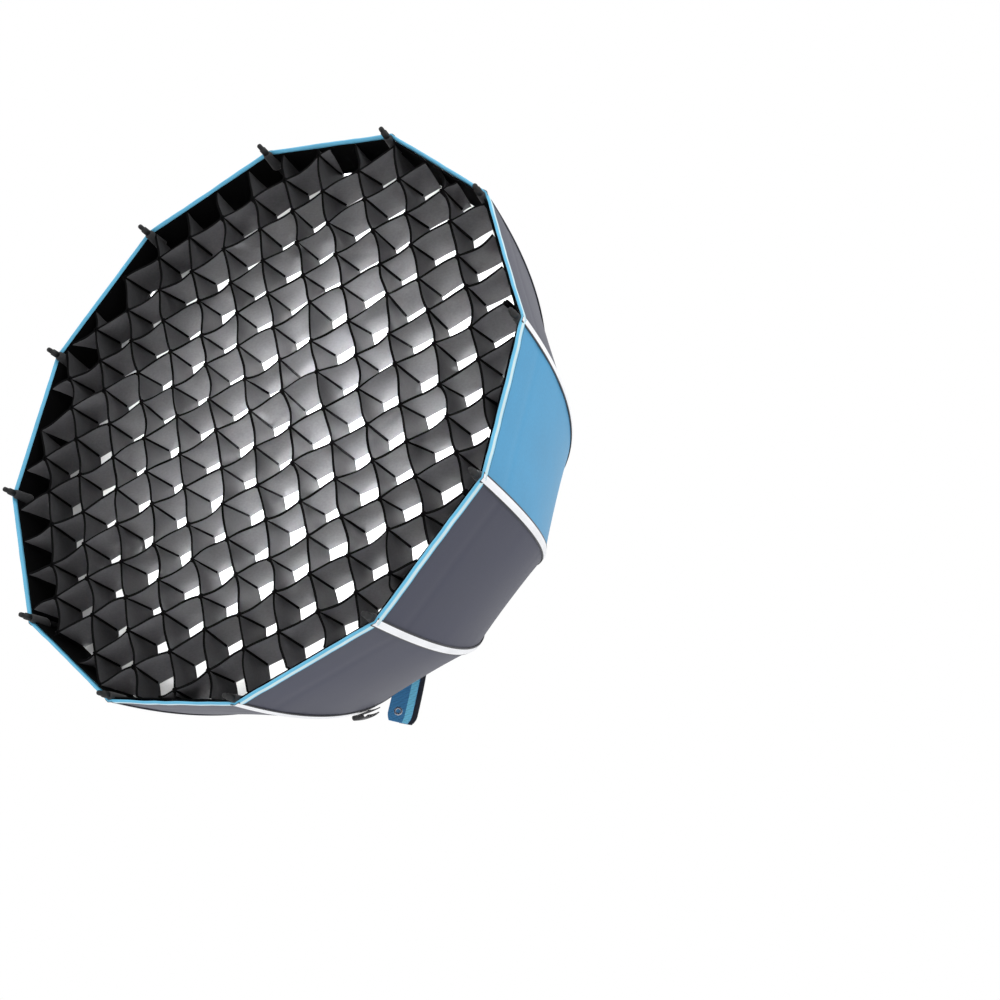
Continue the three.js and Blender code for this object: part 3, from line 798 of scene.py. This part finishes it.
def make_binding(rib):
    """Sky blue tape folded over the rim, from mid panel to mid panel."""
    out, forward = seam_way(1.0)
    grid = []
    stations = 12
    for side in (-1, 1):
        panel = rib if side > 0 else (rib - 1) % RIBS
        for k in range(stations + 1):
            share = k / stations * 0.5
            s = share if side > 0 else 1 - share
            middle = rib_angle(panel) + STEP / 2
            edge = panel_point(panel, 1.0, s)
            way = at(out * math.cos(STEP / 2), middle, forward).normalized()
            up = at(forward, middle, -out * math.cos(STEP / 2)).normalized()
            lie = 0.25 * MM * noise.noise(edge * 90)
            row = []
            for back, lift, lean in BINDING_PROFILE:
                p = edge - way * (back - 0.9 * MM) + up * (lift + lie)
                n = (way * 0.6 - up if lean is None else up + way * lean).normalized()
                row.append((p, n, (share * PANEL_WIDTH, back)))
            grid.append((side * k, row))
    grid.sort(key=lambda item: item[0])
    rows = [row for _, row in grid]
    del rows[stations]
    cloth = Cloth()
    # across the binding: a dark line on the panel behind it (dark stitching and painted shade), sky blue, a
    # pale band (painted highlight), then sky blue over the edge
    cloth.sheet(rows, 0.5 * MM, lambda i, j: (2, 0, 1, 0, 0, 0)[j], 0)
    piece = cloth.build(f"rim_binding_{rib_name(rib)}", [BINDING, BINDING_PAINTED_HIGHLIGHT, DARK_EDGE])
    gather(piece)
    settle(piece, f"rib_{rib_name(rib)}", "blue_webbing")


# ---- ribs ----

# Past the end of the seam: distance and radius of the rod's tip, in mm.
TIP_PROFILE = ((2.0, 2.5), (3.0, 3.4), (9.0, 3.3), (10.0, 2.5), (14.0, 2.45), (15.3, 2.0), (16.0, 0.9))
# Along the rod from the end of the seam: distance, half width and half height, in mm.
POCKET_PROFILE = (
    (-19, 5.5, 2.9), (-17.5, 6.5, 3.4), (-11, 5.8, 3.6), (-4, 5.0, 3.7), (1.2, 4.6, 3.6), (2.2, 4.1, 3.2),
)


def make_rod(rib):
    """One coated rod from its socket to a rounded tip past the rim."""
    start, way, up, _ = rib_frame(rib, 0.0, -ROD_LINE)
    path = [start + way * (4 * MM), start + way * (9 * MM), start + way * (15 * MM)]
    path += [rib_frame(rib, 0.14 + 0.86 * i / 24, -ROD_LINE)[0] for i in range(25)]
    sections = [oval(ROD_RADIUS, ROD_RADIUS, 14)] * len(path)
    last, end_way = path[-1], rib_frame(rib, 1.0)[1]
    path += [last + end_way * (along * MM) for along, _ in TIP_PROFILE]
    sections += [oval(r * MM, r * MM, 14) for _, r in TIP_PROFILE]
    piece = sweep(f"rod_{rib_name(rib)}", path, up, sections, [ROD])
    settle(piece, f"rib_{rib_name(rib)}", "fibre_rod", f"rib_rod_{rib_name(rib)}")


def make_pocket(rib):
    """A small black pocket inside each rim corner that takes the rod's end."""
    point, way, up, _ = rib_frame(rib, 1.0, -ROD_LINE)
    path = [point + way * (along * MM) for along, _, _ in POCKET_PROFILE]
    sections = [oval(wide * MM, high * MM, 20) for _, wide, high in POCKET_PROFILE]
    piece = sweep(f"corner_pocket_{rib_name(rib)}", path, up, sections, [BLACK_WEB])
    settle(piece, f"rib_{rib_name(rib)}", "black_fabric")


# ---- grid and diffuser ----

SECTORS = 24
GRID_SHEET = 0.9 * MM
HEM_DEPTH = 5.0 * MM
STITCH_WIDTH = 5.6 * MM


def mouth_radius(depth, angle, inset=0.0):
    """How far the mouth's straight-sided outline is from the axis in one direction."""
    flat = seam(seam_share_at(depth))[0] * math.cos(STEP / 2) - 3.9 * MM - inset
    off = (angle + STEP / 2) % STEP - STEP / 2
    return flat / math.cos(off)


def grid_jitter(i, j, layer):
    """How far a crossing has been pulled off its true place."""
    reach = 3.2 * MM if layer == 0 else 2.2 * MM
    rng = random.Random(i * 917 + j * 131 + layer * 7 + 5)
    return Vector((rng.uniform(-reach, reach), rng.uniform(-reach, reach)))


def crossing(i, j, layer):
    """Place of one crossing across the mouth, at the front (0) or the back (1) of the grid."""
    u = GRID_SHIFT[0] + i * GRID_PITCH
    v = GRID_SHIFT[1] + j * GRID_PITCH
    x = u * math.cos(GRID_TURN) - v * math.sin(GRID_TURN)
    z = u * math.sin(GRID_TURN) + v * math.cos(GRID_TURN)
    return Vector((x, z)) + grid_jitter(i, j, layer)


def sector_of(flat_point):
    angle = math.atan2(flat_point.y, flat_point.x) % (2 * math.pi)
    return int(angle / (2 * math.pi) * SECTORS) % SECTORS


def inside_share(a, b, depth):
    """The part of the line from a to b that lies inside the mouth, as two shares, or None."""
    def inside(p):
        return p.length < mouth_radius(depth, math.atan2(p.y, p.x), 1.0 * MM)

    start, end = inside(a), inside(b)
    if not start and not end:
        return None
    if start and end:
        return 0.0, 1.0
    low, high = last_share(lambda t: inside(a.lerp(b, t)) == start, 24)
    return (0.0, low) if start else (high, 1.0)


WALL_ACROSS = 8
WALL_DEEP = 7
MAP_DEPTH = 44 * MM  # how far the cloth map runs from the front of the grid to its back
STITCH_TURN = 0.785  # the sewn lines stand this far round from the walls


def wall_rows(i, j, along_u):
    """One wall of the grid between two crossings, bellied as loose cloth is."""
    ends = ((i, j), (i + 1, j)) if along_u else ((i, j), (i, j + 1))
    spans = []
    for layer, depth in ((0, GRID_FRONT), (1, GRID_BACK)):
        a, b = crossing(*ends[0], layer), crossing(*ends[1], layer)
        span = inside_share(a, b, depth)
        if span is None:
            return None
        spans.append((a, b, span))
    rng = random.Random(i * 53 + j * 2711 + (17 if along_u else 0))
    belly = rng.uniform(-1, 1) * 3.2 * MM
    loose = rng.uniform(-1, 1) * 2.6 * MM
    lean = rng.uniform(-0.25, 0.25)
    dip = rng.uniform(0.0, 1.8) * MM
    wave = 0.8 * MM * random.Random(i * 7 + j * 3 + along_u).uniform(-1, 1)
    way = (spans[0][1] - spans[0][0]).normalized()
    side = Vector((-way.y, way.x))
    hem = HEM_DEPTH / (GRID_FRONT - GRID_BACK)
    rows = []
    for p in range(WALL_ACROSS + 1):
        share = p / WALL_ACROSS
        hump = math.sin(math.pi * share)
        front, back = (a.lerp(b, low + (high - low) * share) for a, b, (low, high) in spans)
        row = []
        for q in range(WALL_DEEP + 1):
            deep = (0.0, hem)[q] if q < 2 else hem + (1 - hem) * (q - 1) / (WALL_DEEP - 1)
            flat = front.lerp(back, deep)
            lag = min(1, max(0, share + lean * (deep - 0.5)))
            push = belly * hump * (1 - deep * 0.7)
            push += loose * math.sin(math.pi * lag) * math.sin(math.pi * deep)
            push += wave * math.sin(2 * math.pi * share) * (1 - deep)
            flat = flat + side * push
            depth = GRID_FRONT + (GRID_BACK - GRID_FRONT) * deep - dip * hump * (1 - deep)
            room = mouth_radius(depth, math.atan2(flat.y, flat.x), 1.6 * MM)
            flat = flat * min(1.0, room / max(flat.length, MM))
            normal = Vector((side.x, 0, side.y))
            row.append([Vector((flat.x, -depth, flat.y)), normal, (share * GRID_PITCH, deep * MAP_DEPTH)])
        rows.append(row)
    return with_normals(rows)


def with_normals(rows):
    """Rows of [point, rough normal, map place] with each normal taken from the surface."""
    count, width = len(rows), len(rows[0])
    done = []
    for i in range(count):
        line = []
        for j in range(width):
            along = rows[min(i + 1, count - 1)][j][0] - rows[max(i - 1, 0)][j][0]
            across = rows[i][min(j + 1, width - 1)][0] - rows[i][max(j - 1, 0)][0]
            normal = along.cross(across)
            rough = rows[i][j][1]
            normal = normal.normalized() if normal.length > 1e-12 else rough
            if normal.dot(rough) < 0:
                normal = -normal
            line.append((rows[i][j][0], normal, rows[i][j][2]))
        done.append(line)
    return done


def gather_sector(piece):
    """Gives a wedge of cloth its own copy of its mesh."""
    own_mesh(piece)


def make_grid():
    walls = {sector: [] for sector in range(SECTORS)}
    posts = {sector: [] for sector in range(SECTORS)}
    reach = int(RIM_RADIUS / GRID_PITCH) + 2
    for i in range(-reach, reach + 1):
        for j in range(-reach, reach + 1):
            for along_u in (True, False):
                rows = wall_rows(i, j, along_u)
                if rows:
                    middle = (rows[0][0][0] + rows[-1][0][0]) / 2
                    # walls along u take the grid cloth, walls along v take its darker copy, which is
                    # painted shade
                    walls[sector_of(Vector((middle.x, middle.z)))].append((rows, 0 if along_u else 2))
            front, back = crossing(i, j, 0), crossing(i, j, 1)
            if front.length < mouth_radius(GRID_FRONT, math.atan2(front.y, front.x), 4 * MM):
                posts[sector_of(front)].append((front, back))
    for sector in range(SECTORS):
        cloth = Cloth()
        for rows, base in walls[sector]:
            cloth.sheet(
                [[(p + n * (GRID_SHEET / 2), n, uv) for p, n, uv in row] for row in rows],
                GRID_SHEET, lambda i, j, base=base: 1 if j == 0 else base, base,
                swell=[0.8 * MM, 0.6 * MM] + [0.0] * (WALL_DEEP - 1),
            )
        add_band(cloth, sector)
        for front, back in posts[sector]:
            add_stitch(cloth, front, back)
        piece = cloth.build(f"grid_cells_{sector + 1:02d}", [GRID_CLOTH, GRID_HEM, GRID_CLOTH_PAINTED_SHADE])
        length = mouth_radius(GRID_FRONT, 0) * 2 * math.pi / SECTORS
        length += sum((rows[-1][0][0] - rows[0][0][0]).length for rows, _ in walls[sector])
        length += STITCH_WIDTH * 2 * len(posts[sector])
        gather_sector(piece)
        settle(piece, "grid", "black_fabric")
        if sector == 0:
            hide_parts("front_grid")


def add_stitch(cloth, front, back):
    """The sewn line where two walls cross: a narrow dark strip from front to back."""
    for turn in (0, math.pi / 2):
        side = at(1, GRID_TURN + turn + STITCH_TURN, 0)
        across = Vector((-side.z, 0, side.x))
        half = STITCH_WIDTH / 2
        rows = []
        for t in (0.0, 0.45, 0.9):
            flat = front.lerp(back, t)
            depth = GRID_FRONT + 0.3 * MM + (GRID_BACK - GRID_FRONT) * t
            p = Vector((flat.x, -depth, flat.y))
            rows.append([
                (p - side * half + across * (1.0 * MM), across, (-half, t * MAP_DEPTH)),
                (p + side * half + across * (1.0 * MM), across, (half, t * MAP_DEPTH)),
            ])
        cloth.sheet(rows, 2.0 * MM, 1)


def add_band(cloth, sector):
    """The black border that joins the cells to the inside of the rim."""
    start = sector / SECTORS * 2 * math.pi
    stations, levels = 10, 7
    rows = []
    for k in range(stations + 1):
        angle = start + 2 * math.pi / SECTORS * k / stations
        row = []
        for q in range(levels + 1):
            deep = q / levels
            depth = GRID_FRONT + 0.8 * MM + (GRID_BACK - GRID_FRONT) * deep
            r = mouth_radius(min(depth, RIM_DEPTH), angle, 0.4 * MM)
            spot = at(r, angle, depth)
            r += 1.0 * MM * noise.noise(spot * 38) * math.sin(math.pi * min(1, deep + 0.12))
            row.append([at(r, angle, depth), at(-1, angle, 0), (k * 7.5 * MM, deep * MAP_DEPTH)])
        rows.append(row)
    cloth.sheet(with_normals(rows), GRID_SHEET, 1)


def make_diffuser():
    """White front cloth, gathered a little along its edge."""
    rings, spokes = 26, 10
    for sector in range(SECTORS):
        start = sector / SECTORS * 2 * math.pi
        cloth = Cloth()
        rows = []
        for k in range(spokes + 1):
            angle = start + 2 * math.pi / SECTORS * k / spokes
            row = []
            for q in range(rings + 1):
                share = 0.004 + 0.996 * q / rings
                r = share * mouth_radius(CLOTH_DEPTH, angle, -1.2 * MM)
                spot = at(r, angle, 0)
                ripple = 0.8 * MM * noise.noise(spot * 9) * min(1, (1 - share) * 6)
                pucker = 1.1 * MM * math.sin(angle * 90) * math.exp(-(1 - share) * 14)
                depth = CLOTH_DEPTH - 1.2 * MM + ripple + pucker * (1 - share) * 4
                row.append([at(r, angle, depth), Vector((0, -1, 0)), (spot.x, spot.z)])
            rows.append(row)
        cloth.sheet(with_normals(rows), 0.5 * MM, 0)
        piece = cloth.build(f"diffuser_cloth_{sector + 1:02d}", [DIFFUSION])
        reach = mouth_radius(CLOTH_DEPTH, STEP / 4)
        gather_sector(piece)
        settle(piece, "diffuser", "white_diffusion")
        if sector == 0:
            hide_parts("front_diffuser")


# ---- ring ----

BORE = 37 * MM
GROOVE_IN, GROOVE_OUT = 58 * MM, 73.5 * MM  # the channel cut in the front of the plate
TAIL_LIP, TAIL_OUT = 61.5 * MM, 71.2 * MM
POST_RADIUS = 79 * MM
POST_ANGLES = [math.radians(60 + 90 * i) for i in range(4)]


def y_rod(name, radius, angle, across, start, end, mats, ease=0.4 * MM):
    return rod_between(name, at(radius, angle, start), at(radius, angle, end), across, mats, ease=ease)


def make_ring():
    plate_back, plate_front = -PLATE_HI.y, HUB_BACK - 1.6 * MM
    flange_front = -FLANGE_LO.y

    flange = turned("lamp_flange", ring_profile(BORE, FLANGE_HI.x, 0, flange_front, 0.8 * MM), [ALLOY])
    lugs = []
    for i in range(3):
        lug = block(
            f"lug_{i}", (BORE - 3.5 * MM, -4.2 * MM, -7 * MM), (BORE + 1 * MM, -1.2 * MM, 7 * MM), [ALLOY],
        )
        lug.data.transform(Matrix.Rotation(-math.radians(30 + 120 * i), 4, "Y"))
        lugs.append(lug)
    flange = joined("lamp_flange_ring", [flange, *lugs])
    settle(flange, "mount", "cast_alloy", "mount_flange")

    outline = eased([
        (BORE + 1.5 * MM, plate_back), (PLATE_RADIUS, plate_back), (PLATE_RADIUS, plate_front),
        (GROOVE_OUT, plate_front), (GROOVE_OUT, -PLATE_LO.y), (GROOVE_IN, -PLATE_LO.y),
        (GROOVE_IN, plate_front), (BORE + 1.5 * MM, plate_front),
    ], 0.8 * MM)
    plate = turned("rear_plate_body", outline, [ALLOY], segments=192)
    cutters = [
        y_rod(f"pocket_{i}", POST_RADIUS, a, 4.9 * MM, plate_back - 2 * MM, plate_back + 4 * MM, [ALLOY], 0)
        for i, a in enumerate(POST_ANGLES)
    ]
    half = BOLT_HI.x + 0.3 * MM
    cutters.append(block(
        "slot", (-half, -plate_back - 5.3 * MM, -PLATE_RADIUS - 3 * MM),
        (half, -plate_back + 1 * MM, BOLT_HI.z + 0.3 * MM), [ALLOY], ease=0,
    ))
    plate = cut(plate, cutters)
    settle(plate, "mount", "cast_alloy", "rear_plate")

    hub = turned(
        "hub_ring_body", ring_profile(HUB_RADIUS - 12.2 * MM, HUB_RADIUS, HUB_BACK, HUB_FRONT, 0.8 * MM),
        [ALLOY], segments=192,
    )
    slots = []
    for rib in range(RIBS):
        slot = block(
            f"slot_{rib}", (HUB_RADIUS - 14 * MM, -HUB_FRONT - 1 * MM, -3.3 * MM),
            (83.3 * MM, -HUB_BACK + 1 * MM, 3.3 * MM), [ALLOY], ease=0,
        )
        slot.data.transform(Matrix.Rotation(-rib_angle(rib), 4, "Y"))
        slots.append(slot)
    hub = cut(hub, slots)
    settle(hub, "hub", "cast_alloy", "hub_ring")

    round_wire = [(HINGE_RADIUS + x, HINGE_DEPTH + y) for x, y in oval(1.5 * MM, 1.5 * MM, 12)]
    wire = turned("hinge_wire_round", round_wire, [WIRE], segments=96)
    settle(wire, "hub", "spring_steel", "hinge_wire")

    for i, angle in enumerate(POST_ANGLES):
        name = f"guide_post_{i + 1}"
        low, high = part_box(name)
        head = y_rod("head", POST_RADIUS, angle, 4.6 * MM, -high.y, -high.y + 3.4 * MM, [STEEL], 0.7 * MM)
        shaft = y_rod("shaft", POST_RADIUS, angle, 2.2 * MM, -high.y + 3.2 * MM, -low.y, [STEEL], 0.1 * MM)
        post = joined(f"{name}_turned", [head, shaft])
        settle(post, "hub", "plated_steel", name)

    low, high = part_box("tail_channel_ring")
    channel = turned("tail_channel", eased([
        (GROOVE_IN, -high.y), (TAIL_LIP, -high.y), (TAIL_LIP, -low.y - 2.5 * MM),
        (TAIL_OUT, -low.y - 2.5 * MM), (TAIL_OUT, -low.y), (GROOVE_IN, -low.y),
    ], 0.4 * MM), [STEEL])
    settle(channel, "mount", "plated_steel", "tail_channel_ring")


def make_hem():
    """White piping round the cloth's rear edge."""
    low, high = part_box("rear_hem")
    depth = -(low.y + high.y) / 2
    path = []
    for k in range(8 * RIBS):
        angle = rib_angle(0) + 2 * math.pi * k / (8 * RIBS)
        spot = at(1, angle, 0)
        path.append(at(HUB_RADIUS + 2.2 * MM + 0.4 * MM * noise.noise(spot * 14), angle, depth))
    verts = []
    for i, point in enumerate(path):
        way = (path[(i + 1) % len(path)] - path[i - 1]).normalized()
        up = Vector((point.x, 0, point.z)).normalized()
        up = (up - way * up.dot(way)).normalized()
        side = up.cross(way)
        verts += [point + side * x + up * y for x, y in oval(3.2 * MM, 1.5 * MM, 12)]
    piece = closed_ring("rear_piping", verts, 12, [WHITE_TAPE])
    settle(piece, "hub", "white_tape", "rear_hem")


# ---- latch and pull strap ----

STRAP_TWIST = math.radians(-32)
STRAP_STRAIGHT = 12 * MM
PIN_DEPTH = -(BOLT_LO.y + BOLT_HI.y) / 2
PIN_DROP = -BOLT_LO.z - 3.7 * MM
STRAP_LENGTH = 98 * MM
STRAP_HALF = 12.2 * MM
LINING_FROM, LINING_TO = 1.0 * MM, 17.5 * MM  # the lining stands out past one edge


def strap_row(drop, away, low, high, columns=11):
    """One row across the hanging strap from low to high: points, normals and map places."""
    share = max(0.0, drop - STRAP_STRAIGHT) / (STRAP_LENGTH - STRAP_STRAIGHT)
    turn = STRAP_TWIST * math.sin(min(1.0, share) * math.pi / 2)
    top = -PIN_DROP - 2.9 * MM
    across = Vector((math.cos(turn), -math.sin(turn), 0))
    out = Vector((-math.sin(turn), -math.cos(turn), 0))
    tip = max(0.0, drop - STRAP_LENGTH + 9 * MM) / (9 * MM)
    taper = 1 - 0.22 * tip * tip
    row = []
    for k in range(columns):
        s = (low + (high - low) * k / (columns - 1)) * taper
        cup = 1.1 * MM * (s / STRAP_HALF) ** 2
        curl = 1.2 * MM * math.sin(drop * 42) * min(1, drop / (30 * MM))
        p = Vector((0, -PIN_DEPTH, top - drop)) + across * s + out * (away + cup + curl)
        row.append([p, out, (s, drop)])
    return row


def make_strap():
    rows = []
    loop = 3.3 * MM
    for k in range(9):  # over the pin, from the back of the loop to the front
        a = math.pi * (-0.2 + 1.4 * k / 8)
        row = []
        for c in range(9):
            s = (c / 4 - 1) * STRAP_HALF
            p = Vector((s, -PIN_DEPTH + loop * math.cos(a), -PIN_DROP + loop * math.sin(a)))
            row.append([p, Vector((0, math.cos(a), math.sin(a))), (s, -k * 1.6 * MM)])
        rows.append(row)
    down = [strap_row(i / 40 * STRAP_LENGTH, 0.8 * MM, -STRAP_HALF, STRAP_HALF) for i in range(41)]
    cloth = Cloth()
    cloth.sheet(with_normals(rows), 1.2 * MM, 0)
    # the columns along one edge of the hanging strap take the lighter webbing, a painted highlight
    cloth.sheet(with_normals(down), 1.5 * MM, lambda i, j: 1 if j > 6 else 0, 0)
    strap = cloth.build("strap_face", [BLUE_WEB, STRAP_WEB_PAINTED_HIGHLIGHT])
    settle(strap, "strap", "blue_webbing", "pull_strap")

    cloth = Cloth()
    start = 4 * MM
    lined = [
        strap_row(start + i / 40 * (STRAP_LENGTH - start), -1.0 * MM, LINING_FROM, LINING_TO)
        for i in range(41)
    ]
    cloth.sheet(with_normals(lined), 1.0 * MM, 0)
    lining = cloth.build("strap_lining", [NAVY_WEB])
    settle(lining, "strap", "navy_webbing", "strap_backing")

    row = strap_row(STRAP_LENGTH - 11 * MM, 0, -STRAP_HALF, STRAP_HALF)
    centre, out = row[4][0], row[4][1]
    piece = joined("strap_eyelet", [eyelet(centre + out * side, out) for side in (0.9 * MM, -0.9 * MM)])
    settle(piece, "strap", "plated_steel")


def eyelet(centre, axis, inner=2.2 * MM, outer=4.4 * MM, thick=0.5 * MM):
    side = axis.cross(Vector((0, 0, 1))).normalized()
    up = side.cross(axis)
    tube = oval((outer - inner) / 2, thick, 8)
    verts = []
    for x, y in oval(1, 1, 32):
        radial = side * x + up * y
        verts += [centre + radial * ((inner + outer) / 2 + reach) + axis * rise for reach, rise in tube]
    return closed_ring("eyelet", verts, len(tube), [STEEL])


def make_latch():
    back, front = -BOLT_HI.y, -BOLT_LO.y
    plate = block("bolt_plate", (BOLT_LO.x, -front, -PLATE_RADIUS + 1 * MM), BOLT_HI, [PLASTIC], 0.6 * MM)
    ears = []
    for side in (-1, 1):
        a, b = sorted((side * 12.8 * MM, side * BOLT_HI.x))
        top = -PLATE_RADIUS + 2 * MM
        ears.append(block(f"ear_{side}", (a, -front, BOLT_LO.z), (b, -back, top), [PLASTIC]))
    hole = block("opening", (-6.3 * MM, -0.03, -0.0783), (6.3 * MM, 0.01, -0.0687), [PLASTIC], 0)
    plate = cut(plate, [hole])
    pin = rod_between(
        "pin", Vector((-13.6 * MM, -PIN_DEPTH, -PIN_DROP)), Vector((13.6 * MM, -PIN_DEPTH, -PIN_DROP)),
        1.8 * MM, [STEEL],
    )
    bolt = joined("latch_bolt_body", [plate, *ears, pin])
    settle(bolt, "latch", "black_plastic", "latch_bolt")

    low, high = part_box("latch_cover")
    cover = block("latch_cover_plate", low, high, [STEEL], 0.35 * MM)
    screws = []
    for x in (-1, 1):
        for z in (0.2, 0.8):
            spot = Vector((x * (high.x - 2 * MM), high.y, low.z + z * (high.z - low.z)))
            screws.append(rod_between(
                f"screw_{x}_{z}", spot + Vector((0, -0.3 * MM, 0)), spot + Vector((0, 0.9 * MM, 0)),
                1.6 * MM, [STEEL], ease=0.5 * MM,
            ))
    cover = joined("latch_cover_screwed", [cover, *screws])
    settle(cover, "mount", "plated_steel", "latch_cover")


# ---- closure strap ----

CLOSURE_RIB = 9
CLOSURE_AT = 0.55
CLOSURE_HALF = 6.5 * MM


def make_closure():
    """A black fastening strap doubled back on itself along a lower seam."""
    point, way, up, side = rib_frame(CLOSURE_RIB, CLOSURE_AT, 1.6 * MM)
    outline = []
    for k in range(25):
        t = k / 24
        if t < 0.42:
            along = -16 + 30 * t / 0.42
            height = 0.6 + 1.5 * math.sin(math.pi * t / 0.42) * 0.4
        elif t < 0.58:
            a = math.pi * (t - 0.42) / 0.16
            along = 14 + 2.2 * math.sin(a)
            height = 0.6 + 2.4 * (1 - math.cos(a))
        else:
            along = 14 - 26 * (t - 0.58) / 0.42
            height = 5.4 + 1.6 * math.sin(math.pi * (t - 0.58) / 0.42)
        outline.append((along * MM, height * MM))
    rows = []
    for k, (along, height) in enumerate(outline):
        before, after = outline[max(k - 1, 0)], outline[min(k + 1, len(outline) - 1)]
        run, rise = after[0] - before[0], after[1] - before[1]
        normal = (way * rise - up * run).normalized()
        row = []
        for c in range(7):
            s = (c / 3 - 1) * CLOSURE_HALF
            sag = -0.6 * MM * (c / 3 - 1) ** 2
            row.append((point + way * along + up * (height + sag) + side * s, normal, (s, k * 2.4 * MM)))
        rows.append(row)
    cloth = Cloth()
    cloth.sheet(rows, 1.0 * MM, 0)
    piece = cloth.build("closure_strap_folded", [BLACK_WEB])
    settle(piece, f"rib_{rib_name(CLOSURE_RIB)}", "black_fabric", "closure_strap")


# ---- carried-over nodes, stage and light ----


def finish_nodes():
    """The levers and the keeper keep their own shape and are plated steel."""
    for node in [*(f"rib_lever_{rib_name(rib)}" for rib in range(RIBS)), "latch_keeper"]:
        for slot in bpy.data.objects[node].material_slots:
            slot.material = STEEL


def make_stage():
    mesh = bpy.data.meshes.new("floor")
    mesh.from_pydata([(-9, -9, -1.35), (9, -9, -1.35), (9, 9, -1.35), (-9, 9, -1.35)], [], [[0, 1, 2, 3]])
    n = Nodes("studio_floor")
    n.tone(n.noise(2.0), (0.9, 0.9, 0.905), (0.93, 0.93, 0.93))
    n.set(Roughness=0.9)
    mesh.materials.append(n.mat)
    floor = placed("floor", mesh)

    world = bpy.data.worlds.new("studio")
    bpy.context.scene.world = world
    world.use_nodes = True
    back = world.node_tree.nodes["Background"]
    back.inputs["Color"].default_value = (1, 1, 1, 1)
    back.inputs["Strength"].default_value = 1.0


def area_light(name, place, target, size, watts):
    data = bpy.data.lights.new(name, "AREA")
    data.shape, data.size, data.energy = "DISK", size, watts
    light = placed(name, data)
    light.location = place
    light.rotation_euler = (Vector(target) - Vector(place)).to_track_quat("-Z", "Y").to_euler()


def make_lights():
    area_light("lamp", (0, -HUB_FRONT - 4 * MM, 0), (0, -1, 0), 0.09, 120.0)
    area_light("key", (1.6, -1.6, 1.8), (0.1, -0.2, 0), 1.4, 22.0)
    area_light("rim", (-1.8, 1.2, 1.2), (0, -0.1, 0), 1.2, 12.0)


make_camera()
make_stage()
make_lights()
for rib in range(RIBS):
    make_rod(rib)
    make_pocket(rib)
    make_seam_tape(rib)
    for part in range(len(BREAKS) - 1):
        make_gore(rib, part)
    make_binding(rib)
make_grid()
make_diffuser()
make_ring()
make_hem()
make_latch()
make_strap()
make_closure()
finish_nodes()

bpy.context.scene.view_settings.view_transform = "Standard"
